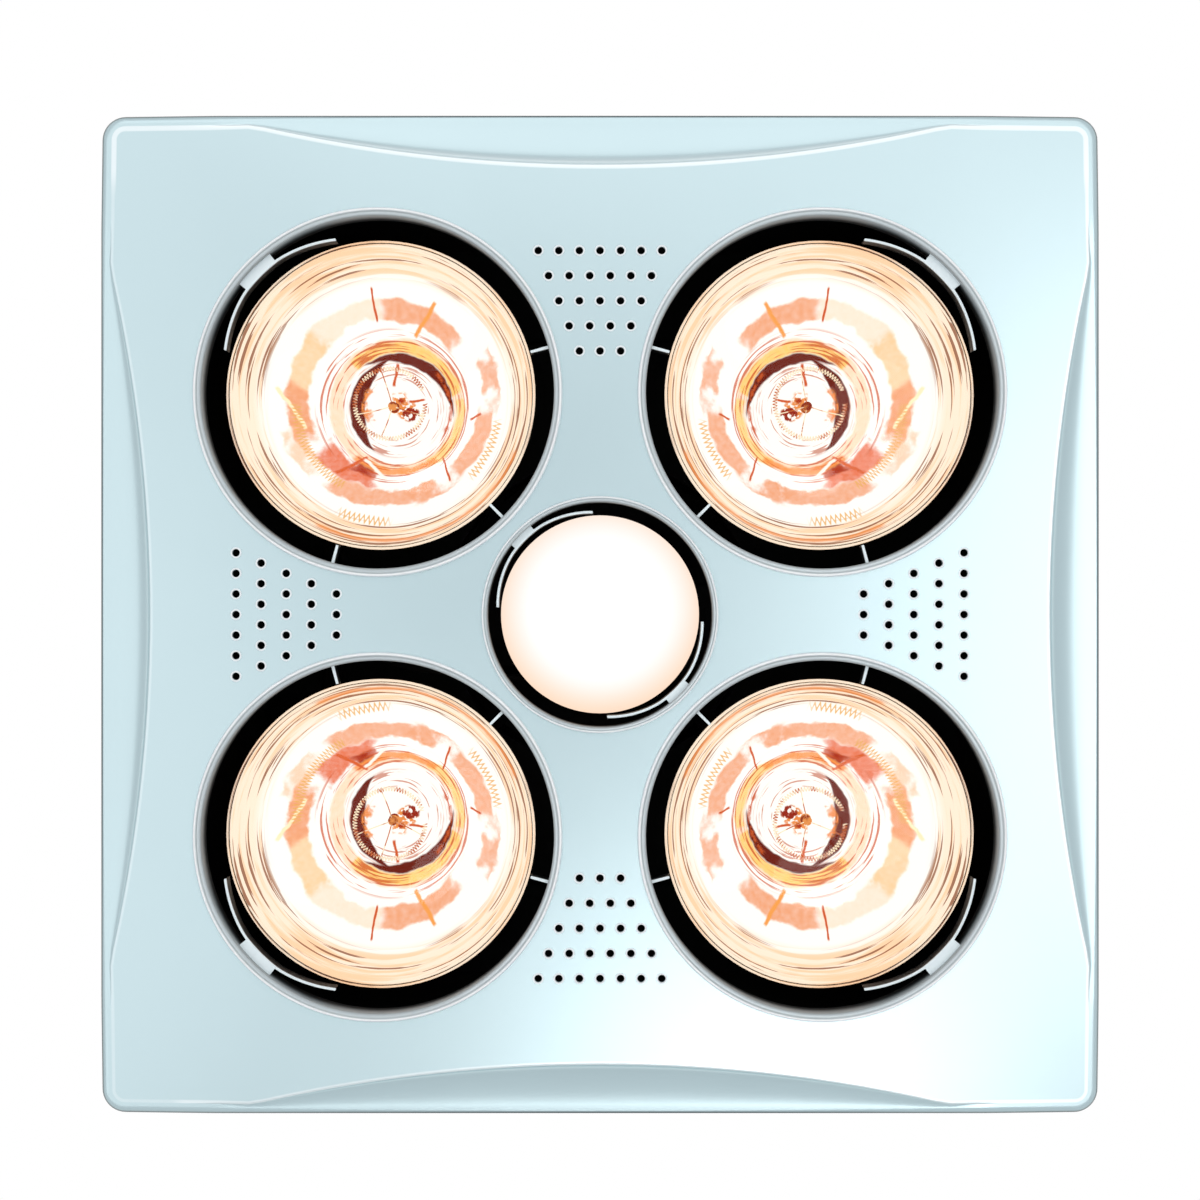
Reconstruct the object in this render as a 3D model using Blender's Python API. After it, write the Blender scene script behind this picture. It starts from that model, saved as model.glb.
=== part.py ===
"""Ceiling heater: four reflector heat lamps, a centre light and an extractor fan in one sheet-steel case.

Lengths are in metres and +Z is up. The origin is the centre of the ceiling's underside: the case goes up
into the roof space from there, and the square plastic fascia hangs below it and faces -Z.
"""

import math

import bmesh
import bpy
from mathutils import Matrix, Vector

# Clearances between neighbouring pieces, and the overrun of every cutter and joined shape
GAP = 0.0003
RUNNING_GAP = 0.0005
OVERRUN = 0.001

# Lamps
LAMP_PITCH = 0.1772
LAMP_RECESS = 0.002
HEAT_LAMP_DIAMETER = 0.125
HEAT_LAMP_LENGTH = 0.180
LIGHT_DIAMETER = 0.080
LIGHT_LENGTH = 0.114
GLASS_WALL = 0.0012
NECK_DIAMETER = 0.030
CAP_LENGTH = 0.027
CAP_DIAMETER = 0.026
CAP_FLANGE_HEIGHT = 0.0016
CONTACT_DIAMETER = 0.010
CONTACT_HEIGHT = 0.0013
CAP_SHOULDER = 0.004
STEM_DIAMETER = 0.007
STEM_FLARE_DIAMETER = 0.018
STEM_FLARE_HEIGHT = 0.014
FILAMENT_DIAMETER = 0.030
FILAMENT_WIRE = 0.0018
SUPPORT_WIRE = 0.0014

# The glass's outline from its apex to its neck, as shares of its radius and of its length
HEAT_GLASS_SHARES = ((0.52, 0.016), (0.86, 0.056), (1.0, 0.105), (0.90, 0.26), (0.70, 0.43), (0.36, 0.78))
LIGHT_GLASS_SHARES = ((0.52, 0.028), (0.87, 0.10), (1.0, 0.18), (0.95, 0.30), (0.58, 0.66))
HEAT_FILAMENT_SHARE = 0.45
HEAT_STEM_END_SHARE = 0.58
LIGHT_FILAMENT_SHARE = 0.42
LIGHT_STEM_END_SHARE = 0.64

# Fascia
FASCIA_WIDTH = 0.400
FASCIA_DEPTH = 0.022
FASCIA_WALL = 0.0025
FASCIA_BOW = 0.0014
FASCIA_CORNER_RADIUS = 0.0095
EDGE_ROUNDING = 0.0028
LIP_ROUNDING = 0.0012
SCOOP_RADIUS = 0.611
SCOOP_WIDTH = 0.0205
SCOOP_DEPTH = 0.007
COVE_SHARES = (0.45, 0.2, 0.06, 0.0)
RIM_BACK_SHARE = 0.8
SHOULDER_BACK_SHARE = 0.5
LEAST_COVE = 0.0015

# Lamp openings of the fascia
HEAT_RING_GAP = 0.0078
LIGHT_RING_GAP = 0.005
RING_BACK = 0.006
HEAT_RING_WALL = 0.002
LIGHT_RING_WALL = 0.0018
HEAT_BEAD_WIDTH = 0.0034
LIGHT_BEAD_WIDTH = 0.0023
BEAD_HEIGHT = 0.002
# The bead's outline from the throat outwards, as shares of its width and of its height
BEAD_SHARES = ((0, 0.4), (0.38, 1), (0.8, 0.8))
RIB_THICKNESS = 0.0013
RIB_FRONT = 0.003
LAMP_EDGE_GAP = 0.0005
FINGER_THICKNESS = 0.0012
FINGER_FRONT = 0.003
FINGER_ROOT_GAP = 0.0045
LIGHT_FINGER_ROOT_GAP = 0.0029
ROOT_ANGLE = 7
FINGER_CURVE = 1.5
HEAT_FINGER_ANGLE = 29.5
LIGHT_FINGER_ANGLE = 41

# Vent holes
VENT_FIRST_ROW = 0.105
VENT_ROW_PITCH = 0.010
VENT_ROWS = 5
VENT_FIRST_COUNT = 3
VENT_PITCH = 0.0082
VENT_DIAMETER = 0.0030
VENT_SIDES = 6

# Case
CASE_WIDTH = 0.336
SHEET = 0.001
FLANGE_REACH = 0.022

# Hanger springs, and the bars and tabs that carry them
HANGER_CASE_CLEARANCE = 0.007
HANGER_FASCIA_INSET = 0.040
HANGER_BAR_DIAMETER = 0.0052
HANGER_BAR_STAND = 0.0060
HANGER_COIL_RADIUS = 0.0041
HANGER_WIRE = 0.0016
HANGER_TURNS = 3.5
HANGER_TURN_GAP = 0.0006
HANGER_LUG = 0.002
HANGER_HOOK = 0.007
TAB_HEIGHT = 0.014
TAB_LAP = 0.011
TAB_WIDTH = 0.030
TAB_SLOT = 0.0032
FASCIA_DROP = 0.045

# Lampholders
HOLDER_DIAMETER = 0.037
HOLDER_BASE_DIAMETER = 0.046
HOLDER_BASE_HEIGHT = 0.011
HOLDER_CROWN_HEIGHT = 0.019
HOLDER_BORE_DIAMETER = 0.0288
SHELL_WALL = 0.0005
HOLDER_LIP = 0.0012

# Fan
DUCT_BORE = 0.144
FAN_TIP_CLEARANCE = 0.0025
DUCT_WALL = 0.002
DUCT_HEIGHT = 0.081
SPIGOT_FLANGE_REACH = 0.014
SPIGOT_FLANGE_THICKNESS = 0.0017
SHAFT_DIAMETER = 0.006
BEARING_CLEARANCE = 0.0004
ROTOR_DIAMETER = 0.0276
STATOR_BORE = 0.0296
STATOR_HEIGHT = 0.020
STATOR_WIDTH = 0.048
STATOR_FRONT = 0.022
STATOR_LEG = 0.012
STATOR_WINDOW_DEPTH = 0.018
STATOR_WINDOW_WIDTH = 0.025
STATOR_WEB = 0.0052
COIL_WALL = 0.0075
BRACKET_DROP = 0.008
BRACKET_SHEET = 0.0015
BRACKET_ARM_WIDTH = 0.010
BRACKET_PAD = 0.013
MOTOR_SPACING = 0.006
POST_DIAMETER = 0.007
BEARING_DIAMETER = 0.018
BEARING_HEIGHT = 0.008
BRIDGE_WIDTH = 0.012
BRIDGE_DROP = 0.006
HUB_DIAMETER = 0.036
HUB_HEIGHT = 0.022
FAN_RISE = 0.006
BLADES = 6
BLADE_THICKNESS = 0.0016
BLADE_ROOT_CHORD = 0.022
BLADE_TIP_CHORD = 0.040
BLADE_ROOT_PITCH = 50
BLADE_TIP_PITCH = 24
BLADE_STATIONS = 4
BLADE_CHORD_SHARES = (-0.5, 0.0, 0.5)
BLADE_CAMBER_SHARE = 0.06
NUT_DIAMETER = 0.013
NUT_HEIGHT = 0.005

# Backdraught flaps
FLAP_RISE = 0.041
FLAP_THICKNESS = 0.001
FLAP_CLEARANCE = 0.001
PIN_DIAMETER = 0.003
PIN_OVERHANG = 0.0015
KNUCKLE_DIAMETER = 0.0064
KNUCKLE_LENGTH = 0.0275
STOP_REACH = 0.006
STOP_WIDTH = 0.008
STOP_HEIGHT = 0.003

# Light bracket
LIGHT_BRACKET_WIDTH = 0.024
LIGHT_BRACKET_SHEET = 0.0012
LIGHT_BRACKET_TAB = 0.015

# Terminal box and its contents
BOX_LENGTH = 0.060
BOX_WIDTH = 0.064
BOX_HEIGHT = 0.028
BOX_WALL = 0.002
BOX_PLACE = 0.135
COVER_THICKNESS = 0.002
COVER_LIP = 0.004
BLOCK_PLACE = 0.147
BLOCK_LENGTH = 0.018
BLOCK_HEIGHT = 0.014
BLOCK_BARRIER = 0.0015
BLOCK_BARRIER_HEIGHT = 0.004
SLOT_PLACE = 0.121
SLOT_LENGTH = 0.024
SLOT_WIDTH = 0.040
LEAD_DIAMETER = 0.003
LEAD_PITCH = 0.006
LEAD_END_GAP = 0.0005
LEAD_COUNT = 6
LEAD_TURN_SHARE = 1.4
GLAND_RISE = 0.014
GLAND_DIAMETER = 0.020
GLAND_BODY_DIAMETER = 0.016
GLAND_THREAD_DIAMETER = 0.012
GLAND_BORE = 0.008
GLAND_LENGTH = 0.020
GLAND_FLANGE = 0.004
CUTOUT_PLACE = 0.144
CUTOUT_OFFSET = 0.048
CUTOUT_DIAMETER = 0.016
CUTOUT_FLANGE_DIAMETER = 0.022
CUTOUT_HEIGHT = 0.007
CUTOUT_TAB_LENGTH = 0.007
CUTOUT_TAB_WIDTH = 0.005
CUTOUT_TAB_SPACING = 0.008

# Swing clamps
CLAMP_PLACE = 0.110
CLAMP_STAND = 0.008
CLAMP_SCREW_DIAMETER = 0.004
CLAMP_SCREW_LENGTH = 0.060
CLAMP_HEAD_DIAMETER = 0.008
CLAMP_HEAD_HEIGHT = 0.0028
THINNEST_BOARD = 0.010
DOG_REACH = 0.028
DOG_DIAMETER = 0.011
DOG_HEIGHT = 0.008
DOG_TOE = 0.009
DOG_TOE_HEIGHT = 0.0015

# Facets round each turned shape
LAMP_FACETS = 20
RING_FACETS = 28
SOCKET_FACETS = 14
SMALL_FACETS = 10

# Places worked out from the sizes above
PLATEAU = -FASCIA_DEPTH
APEX = PLATEAU + LAMP_RECESS
LAMP_OFFSET = LAMP_PITCH / 2
HEAT_TIP = APEX + HEAT_LAMP_LENGTH
LIGHT_TIP = APEX + LIGHT_LENGTH
ROOF = HEAT_TIP + GAP + HOLDER_CROWN_HEIGHT + GAP
ROOF_TOP = ROOF + SHEET
CASE_HALF = CASE_WIDTH / 2
CASE_INSIDE = CASE_HALF - SHEET
FLANGE_HALF = CASE_HALF + FLANGE_REACH
# Each hanger spring stays inside the case's wall and clear of the fascia's scoop
HANGER_PLACE = min(CASE_INSIDE - HANGER_CASE_CLEARANCE, FASCIA_WIDTH / 2 - HANGER_FASCIA_INSET)
TAB_REACH = CASE_INSIDE - HANGER_PLACE + TAB_LAP
HEAT_THROAT = HEAT_LAMP_DIAMETER / 2 + HEAT_RING_GAP
LIGHT_THROAT = LIGHT_DIAMETER / 2 + LIGHT_RING_GAP
SPIGOT_FOOT = ROOF_TOP + GAP
FAN_DIAMETER = DUCT_BORE - 2 * FAN_TIP_CLEARANCE
BRACKET_LOW = ROOF - GAP - BRACKET_DROP
STATOR_TOP = BRACKET_LOW - MOTOR_SPACING
STATOR_LOW = STATOR_TOP - STATOR_HEIGHT
STATOR_BACK = STATOR_BORE / 2 + STATOR_WEB + STATOR_WINDOW_DEPTH + STATOR_LEG
BRIDGE_LOW = STATOR_LOW - GAP - BRIDGE_DROP
HUB_LOW = ROOF_TOP + FAN_RISE
HUB_TOP = HUB_LOW + HUB_HEIGHT
FLAP_AXIS = SPIGOT_FOOT + FLAP_RISE
LIGHT_BRACKET_LOW = LIGHT_TIP + GAP + HOLDER_CROWN_HEIGHT + GAP
HANGER_PITCH = HANGER_WIRE + HANGER_TURN_GAP
HANGER_HALF = HANGER_PITCH * HANGER_TURNS / 2
HANGER_BAR_RISE = PLATEAU + FASCIA_WALL + HANGER_BAR_STAND
HANGER_LEG_TOP = TAB_HEIGHT + SHEET + GAP + FASCIA_DROP + HANGER_WIRE
BOX_FOOT = ROOF_TOP + GAP
BOX_FLOOR = BOX_FOOT + BOX_WALL
BOX_TOP = BOX_FOOT + BOX_HEIGHT
CLAMP_ACROSS = CASE_HALF + CLAMP_STAND
LEAD_RUN = ROOF - GAP - LEAD_DIAMETER / 2
HEAT_LAMP_PLACES = tuple((x * LAMP_OFFSET, y * LAMP_OFFSET) for y in (-1, 1) for x in (-1, 1))


def clear_scene():
    for obj in list(bpy.data.objects):
        bpy.data.objects.remove(obj)


def principled(name, colour, roughness, metallic=0.0):
    material = bpy.data.materials.new(name)
    material.use_nodes = True
    shader = material.node_tree.nodes["Principled BSDF"]
    shader.inputs["Base Color"].default_value = (*colour, 1.0)
    shader.inputs["Roughness"].default_value = roughness
    shader.inputs["Metallic"].default_value = metallic
    return material


def plastic_white(name):
    return principled(name, (0.72, 0.80, 0.82), 0.38)


def galvanised(name):
    return principled(name, (0.62, 0.64, 0.66), 0.42, 0.9)


def steel(name):
    return principled(name, (0.58, 0.58, 0.60), 0.30, 1.0)


def brass(name):
    return principled(name, (0.78, 0.60, 0.28), 0.32, 1.0)


def porcelain(name):
    return principled(name, (0.90, 0.88, 0.84), 0.25)


def black_plastic(name):
    return principled(name, (0.03, 0.03, 0.035), 0.5)


def rise(length):
    return Vector((0, 0, length))


def turn_about_z(degrees):
    return Matrix.Rotation(math.radians(degrees), 4, "Z")


def mesh_of(name, build):
    """A closed mesh whose faces look out, from a function that fills a bmesh."""
    bm = bmesh.new()
    build(bm)
    bmesh.ops.recalc_face_normals(bm, faces=bm.faces)
    mesh = bpy.data.meshes.new(name)
    bm.to_mesh(mesh)
    bm.free()
    return mesh


def smooth(mesh):
    mesh.shade_smooth()
    mesh.set_sharp_from_angle(angle=math.radians(32))


def place(name, mesh, material, location=(0, 0, 0), parent=None, turn=0.0, rounded=True):
    """One named piece of the heater."""
    obj = bpy.data.objects.new(name, mesh)
    obj.location = location
    obj.rotation_euler = (0, 0, math.radians(turn))
    obj.parent = parent
    bpy.context.scene.collection.objects.link(obj)
    mesh.materials.append(material)
    if rounded:
        smooth(mesh)
    return obj


def axis_empty(name, location):
    """An empty on a joint's axis, which carries the pieces that move about it."""
    empty = bpy.data.objects.new(name, None)
    empty.location = location
    empty.empty_display_size = CAP_LENGTH
    bpy.context.scene.collection.objects.link(empty)
    return empty


def boolean(obj, name, build, operation):
    """Joins or cuts a hidden helper shape, given in the piece's own coordinates."""
    helper = bpy.data.objects.new(f"{obj.name}_{name}", mesh_of(name, build))
    helper.parent = obj
    helper.hide_render = True
    helper.display_type = "WIRE"
    bpy.context.scene.collection.objects.link(helper)
    modifier = obj.modifiers.new(name, "BOOLEAN")
    modifier.operation = operation
    modifier.object = helper


def join(obj, name, build):
    boolean(obj, name, build, "UNION")


def cut(obj, name, build):
    boolean(obj, name, build, "DIFFERENCE")


def bridge(bm, first, second):
    """Faces between two rings of points, either of which may be a single point."""
    count = max(len(first), len(second))
    for k in range(count):
        corners = []
        for ring, index in ((first, k), (first, k + 1), (second, k + 1), (second, k)):
            vert = ring[index % len(ring)]
            if vert not in corners:
                corners.append(vert)
        bm.faces.new(corners)


def add_loops(bm, loops, closed):
    """Skins rings of points in turn. A closed skin joins its last ring to its first, an open one is capped."""
    rings = [[bm.verts.new(point) for point in loop] for loop in loops]
    for first, second in zip(rings, rings[1:]):
        bridge(bm, first, second)
    if closed:
        bridge(bm, rings[-1], rings[0])
        return
    for ring in (rings[0], rings[-1]):
        if len(ring) > 2:
            bm.faces.new(ring)


def add_turned(bm, profile, facets, matrix=Matrix()):
    """Spins (radius, height) points about +Z: a tube where no point lies on the axis, otherwise a solid."""
    loops = []
    for radius, height in profile:
        angles = [math.tau * k / facets for k in range(facets)] if radius else [0.0]
        points = [(radius * math.cos(a), radius * math.sin(a), height) for a in angles]
        loops.append([matrix @ Vector(point) for point in points])
    add_loops(bm, loops, closed=profile[0][0] > 0)


def add_cylinder(bm, radius, low, high, facets, matrix=Matrix()):
    add_turned(bm, ((0, low), (radius, low), (radius, high), (0, high)), facets, matrix)


def add_prism(bm, outline, low, high, matrix=Matrix()):
    """Extrudes an outline in X and Y from one height to another."""
    add_loops(bm, [[matrix @ Vector((x, y, z)) for x, y in outline] for z in (low, high)], closed=False)


def add_box(bm, low, high, matrix=Matrix()):
    (x0, y0, z0), (x1, y1, z1) = low, high
    add_prism(bm, ((x0, y0), (x1, y0), (x1, y1), (x0, y1)), z0, z1, matrix)


def add_rectangles(bm, rows, centre=(0, 0)):
    """Skins rectangles given as (half length, half width, height), with caps at both ends."""
    x, y = centre
    add_loops(
        bm,
        [[(x - a, y - b, z), (x + a, y - b, z), (x + a, y + b, z), (x - a, y + b, z)] for a, b, z in rows],
        closed=False,
    )


def arc_points(radius, first, last, steps, centre=(0, 0)):
    """Points on an arc, with its angles in degrees."""
    angles = [math.radians(first + (last - first) * k / steps) for k in range(steps + 1)]
    return [(centre[0] + radius * math.cos(a), centre[1] + radius * math.sin(a)) for a in angles]


# Stands an outline drawn in X and Y upright, so that its Y becomes height and it is extruded along Y
UPRIGHT = Matrix.Rotation(math.radians(90), 4, "X")
# Lays +Z along +X
ALONG_X = Matrix.Rotation(math.radians(90), 4, "Y")
# Lays +Z along +Y
ALONG_Y = Matrix.Rotation(math.radians(-90), 4, "X")


def fascia_outline():
    """The fascia's edge as (point, inward direction, scoop width there)."""
    half = FASCIA_WIDTH / 2
    straight = half - FASCIA_BOW - FASCIA_CORNER_RADIUS
    arc_centre = half - SCOOP_WIDTH + SCOOP_RADIUS
    side_steps, corner_steps = 10, 3
    side = []
    for k in range(side_steps + 1):
        y = straight * math.sin(math.pi * (k / side_steps - 0.5))
        x = half - FASCIA_BOW * (y / straight) ** 2
        arc_x = arc_centre - math.sqrt(SCOOP_RADIUS**2 - y**2)
        side.append((Vector((x, y, 0)), Vector((-1, 0, 0)), max(0.0, x - arc_x)))
    for k in range(1, corner_steps):
        angle = math.radians(90 * k / corner_steps)
        inward = Vector((-math.cos(angle), -math.sin(angle), 0))
        side.append((Vector((straight, straight, 0)) - inward * FASCIA_CORNER_RADIUS, inward, 0.0))
    quarter_turns = [turn_about_z(90 * k) for k in range(4)]
    return [(turn @ point, turn @ inward, scoop) for turn in quarter_turns for point, inward, scoop in side]


def fascia_section(scoop):
    """(inset, height) points across the fascia's rim, from the back edge round the front to the inside."""
    share = scoop / SCOOP_WIDTH
    depth = SCOOP_DEPTH * share
    lip = PLATEAU + depth
    rounding = EDGE_ROUNDING + (LIP_ROUNDING - EDGE_ROUNDING) * share
    corner = rounding * (1 - math.sqrt(0.5))
    rim = max(scoop, rounding + LEAST_COVE)
    cove = rim - rounding
    section = [(0, -GAP), (0, lip + rounding), (corner, lip + corner), (rounding, lip)]
    for left in COVE_SHARES:
        section.append((rounding + cove * (1 - left), PLATEAU + depth * math.sqrt(1 - (1 - left) ** 2)))
    back = PLATEAU + FASCIA_WALL
    shoulder = COVE_SHARES[1]
    shoulder_depth = depth * math.sqrt(1 - (1 - shoulder) ** 2)
    section.append((rim + RIM_BACK_SHARE * FASCIA_WALL, back))
    section.append((rim - cove * shoulder + SHOULDER_BACK_SHARE * FASCIA_WALL, back + shoulder_depth))
    section.append((FASCIA_WALL, back + depth))
    section.append((FASCIA_WALL, -GAP))
    return section


def add_fascia_shell(bm):
    outline = fascia_outline()
    sections = [fascia_section(scoop) for _, _, scoop in outline]
    loops = []
    for row in range(len(sections[0])):
        places = [(point, inward, section[row]) for (point, inward, _), section in zip(outline, sections)]
        loops.append([point + inward * inset + rise(height) for point, inward, (inset, height) in places])
    # The plateau and its back are the two caps, so the skin starts at the back and ends at the front
    front_rows = len(sections[0]) - 4
    add_loops(bm, loops[front_rows:] + loops[:front_rows], closed=False)


def add_ring(bm, matrix, throat, wall, bead_width):
    """The bead and throat of one lamp opening, as a tube."""
    outer = throat + wall
    inside_plate = PLATEAU + FASCIA_WALL / 2
    profile = [(throat, -RING_BACK)]
    profile += [(throat + bead_width * across, PLATEAU - BEAD_HEIGHT * down) for across, down in BEAD_SHARES]
    profile += [(throat + bead_width, inside_plate), (outer, inside_plate), (outer, -RING_BACK)]
    add_turned(bm, profile, RING_FACETS, matrix)


def finger_outline(tip_radius, root_radius, wall_radius, reach_angle):
    """A pair of spring fingers: a root on the throat's wall and an arm each way that draws in to the lamp."""
    steps = 5
    inner, outer = [], []
    for k in range(-steps, steps + 1):
        angle = math.radians(reach_angle * k / steps)
        share = (abs(k) / steps) ** FINGER_CURVE
        radius = root_radius + (tip_radius - root_radius) * share
        across, along = math.cos(angle), math.sin(angle)
        inner.append((radius * across, radius * along))
        outer.append(((radius + FINGER_THICKNESS) * across, (radius + FINGER_THICKNESS) * along))
    # The root's block takes the place of the arm's middle point
    root = arc_points(wall_radius, -ROOT_ANGLE, ROOT_ANGLE, 2)
    foot = arc_points(root_radius + FINGER_THICKNESS, -ROOT_ANGLE, ROOT_ANGLE, 1)
    outline = outer[:steps] + [foot[0]] + root + [foot[1]] + outer[steps + 1 :]
    if ROOT_ANGLE > reach_angle / steps:
        outline = outer[: steps - 1] + [foot[0]] + root + [foot[1]] + outer[steps + 2 :]
    return outline + inner[::-1]


def lamp_opening_places():
    """Each heat lamp's centre as a matrix whose +X looks towards the fascia's middle."""
    places = []
    for x, y in HEAT_LAMP_PLACES:
        inwards = math.degrees(math.atan2(-y, -x))
        places.append(Matrix.Translation((x, y, 0)) @ turn_about_z(inwards))
    return places


def add_rings(bm):
    for matrix in lamp_opening_places():
        add_ring(bm, matrix, HEAT_THROAT, HEAT_RING_WALL, HEAT_BEAD_WIDTH)
    add_ring(bm, turn_about_z(45), LIGHT_THROAT, LIGHT_RING_WALL, LIGHT_BEAD_WIDTH)


def add_lamp_cuts(bm):
    low, high = PLATEAU - OVERRUN, PLATEAU + FASCIA_WALL + OVERRUN
    for matrix in lamp_opening_places():
        add_cylinder(bm, HEAT_THROAT + HEAT_RING_WALL / 2, low, high, RING_FACETS, matrix)
    add_cylinder(bm, LIGHT_THROAT + LIGHT_RING_WALL / 2, low, high, RING_FACETS, turn_about_z(45))


def add_ribs_and_fingers(bm):
    edge = HEAT_LAMP_DIAMETER / 2 + LAMP_EDGE_GAP
    wall = HEAT_THROAT + HEAT_RING_WALL / 2
    front, back = PLATEAU + RIB_FRONT, -RING_BACK - OVERRUN
    for matrix in lamp_opening_places():
        for angle in (-60, 0, 60):
            low, high = (edge, -RIB_THICKNESS / 2, front), (wall, RIB_THICKNESS / 2, back)
            add_box(bm, low, high, matrix @ turn_about_z(angle))
        pair = finger_outline(edge, HEAT_THROAT - FINGER_ROOT_GAP, wall, HEAT_FINGER_ANGLE)
        add_prism(bm, pair, PLATEAU + FINGER_FRONT, back, matrix @ turn_about_z(180))
    edge = LIGHT_DIAMETER / 2 + LAMP_EDGE_GAP
    wall = LIGHT_THROAT + LIGHT_RING_WALL / 2
    for angle in (45, 225):
        pair = finger_outline(edge, LIGHT_THROAT - LIGHT_FINGER_ROOT_GAP, wall, LIGHT_FINGER_ANGLE)
        add_prism(bm, pair, PLATEAU + FINGER_FRONT, back, turn_about_z(angle))


def vent_places():
    """The four groups of holes: each row lies further out and has one hole more."""
    places = []
    for side in range(4):
        for row in range(VENT_ROWS):
            count = VENT_FIRST_COUNT + row
            for k in range(count):
                across = (k - (count - 1) / 2) * VENT_PITCH
                out = VENT_FIRST_ROW + row * VENT_ROW_PITCH
                places.append(turn_about_z(90 * side) @ Vector((out, across, 0)))
    return places


def add_vents(bm):
    for point in vent_places():
        low, high = PLATEAU - OVERRUN, PLATEAU + FASCIA_WALL + OVERRUN
        add_cylinder(bm, VENT_DIAMETER / 2, low, high, VENT_SIDES, Matrix.Translation(point))


def add_hanger_bars(bm):
    """A bar between two lugs on the back of the fascia, on the left and the right."""
    lug_start = HANGER_HALF + HANGER_WIRE / 2 + RUNNING_GAP
    radius = HANGER_BAR_DIAMETER / 2
    for side in (-1, 1):
        place_matrix = Matrix.Translation((side * HANGER_PLACE, 0, 0))
        bar = place_matrix @ Matrix.Translation(rise(HANGER_BAR_RISE)) @ ALONG_Y
        add_cylinder(bm, radius, -lug_start - HANGER_LUG / 2, lug_start + HANGER_LUG / 2, SMALL_FACETS, bar)


def add_hanger_lugs(bm):
    lug_start = HANGER_HALF + HANGER_WIRE / 2 + RUNNING_GAP
    half = HANGER_BAR_DIAMETER / 2 + HANGER_LUG / 2
    low, high = PLATEAU + FASCIA_WALL / 2, HANGER_BAR_RISE + half
    for side in (-1, 1):
        for across in (-1, 1):
            near, far = sorted((across * lug_start, across * (lug_start + HANGER_LUG)))
            x = side * HANGER_PLACE
            add_box(bm, (x - half, near, low), (x + half, far, high))


def make_fascia():
    fascia = place("fascia_panel", mesh_of("fascia", add_fascia_shell), plastic_white("fascia plastic"))
    cut(fascia, "lamp_openings", add_lamp_cuts)
    join(fascia, "rings", add_rings)
    join(fascia, "ribs_and_fingers", add_ribs_and_fingers)
    join(fascia, "hanger_lugs", add_hanger_lugs)
    join(fascia, "hanger_bars", add_hanger_bars)
    cut(fascia, "vents", add_vents)
    return fascia


def hanger_points():
    """A hanger spring's wire: a hook and leg, the coil round the bar, and the other leg and hook."""
    radius, half = HANGER_COIL_RADIUS, HANGER_HALF
    top = HANGER_LEG_TOP - HANGER_BAR_RISE
    bend = HANGER_WIRE
    per_turn = 8
    points = [(-radius, -half - HANGER_HOOK, top), (-radius, -half - bend, top), (-radius, -half, top - bend)]
    steps = round(per_turn * HANGER_TURNS)
    for k in range(steps + 1):
        angle = math.pi + math.tau * HANGER_TURNS * k / steps
        points.append((radius * math.cos(angle), half * (2 * k / steps - 1), radius * math.sin(angle)))
    points += [(radius, half, top - bend), (radius, half + bend, top), (radius, half + HANGER_HOOK, top)]
    return points


def tube(name, points, diameter, material, location=(0, 0, 0), parent=None, turn=0.0):
    """A wire along straight runs between points."""
    curve = bpy.data.curves.new(name, "CURVE")
    curve.dimensions = "3D"
    curve.bevel_depth = diameter / 2
    curve.bevel_resolution = 1
    curve.use_fill_caps = True
    spline = curve.splines.new("POLY")
    spline.points.add(len(points) - 1)
    for spline_point, point in zip(spline.points, points):
        spline_point.co = (*point, 1)
    curve.materials.append(material)
    obj = bpy.data.objects.new(name, curve)
    obj.location = location
    obj.rotation_euler = (0, 0, math.radians(turn))
    obj.parent = parent
    bpy.context.scene.collection.objects.link(obj)
    return obj


def make_hangers(fascia):
    for name, side, turn in (("hanger_spring_left", -1, 180), ("hanger_spring_right", 1, 0)):
        place_point = (side * HANGER_PLACE, 0, HANGER_BAR_RISE)
        tube(name, hanger_points(), HANGER_WIRE, steel(name), place_point, fascia, turn)


def add_case_shell(bm):
    """The folded sheet: roof, four walls and the flange that lies against the ceiling."""
    rows = (
        (CASE_INSIDE, CASE_INSIDE, ROOF),
        (CASE_INSIDE, CASE_INSIDE, -SHEET),
        (FLANGE_HALF, FLANGE_HALF, -SHEET),
        (FLANGE_HALF, FLANGE_HALF, 0),
        (CASE_HALF, CASE_HALF, 0),
        (CASE_HALF, CASE_HALF, ROOF_TOP),
    )
    add_rectangles(bm, rows)


def clamp_places():
    return [(x * CLAMP_ACROSS, y * CLAMP_PLACE) for y in (-1, 1) for x in (-1, 1)]


def add_case_tabs(bm):
    """The two tabs that the hanger springs' legs slide through."""
    for side in (-1, 1):
        near, far = sorted((side * (CASE_INSIDE - TAB_REACH), side * (CASE_INSIDE + SHEET / 2)))
        add_box(bm, (near, -TAB_WIDTH / 2, TAB_HEIGHT), (far, TAB_WIDTH / 2, TAB_HEIGHT + SHEET))


def add_case_cuts(bm):
    above, below = ROOF_TOP + OVERRUN, ROOF - OVERRUN
    add_cylinder(bm, DUCT_BORE / 2, below, above, RING_FACETS)
    x, half_length, half_width = -SLOT_PLACE, SLOT_LENGTH / 2, SLOT_WIDTH / 2
    add_box(bm, (x - half_length, -half_width, below), (x + half_length, half_width, above))
    screw_hole = CLAMP_SCREW_DIAMETER / 2 + RUNNING_GAP
    for x, y in clamp_places():
        add_cylinder(bm, screw_hole, -SHEET - OVERRUN, OVERRUN, SMALL_FACETS, Matrix.Translation((x, y, 0)))
    # Both tabs have a slot for each leg of their spring
    slot = TAB_SLOT / 2
    for side in (-1, 1):
        for leg in (-1, 1):
            x = side * (HANGER_PLACE + leg * HANGER_COIL_RADIUS)
            y = side * leg * HANGER_HALF
            low, high = TAB_HEIGHT - OVERRUN, TAB_HEIGHT + SHEET + OVERRUN
            add_box(bm, (x - slot, y - slot, low), (x + slot, y + slot, high))


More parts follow.
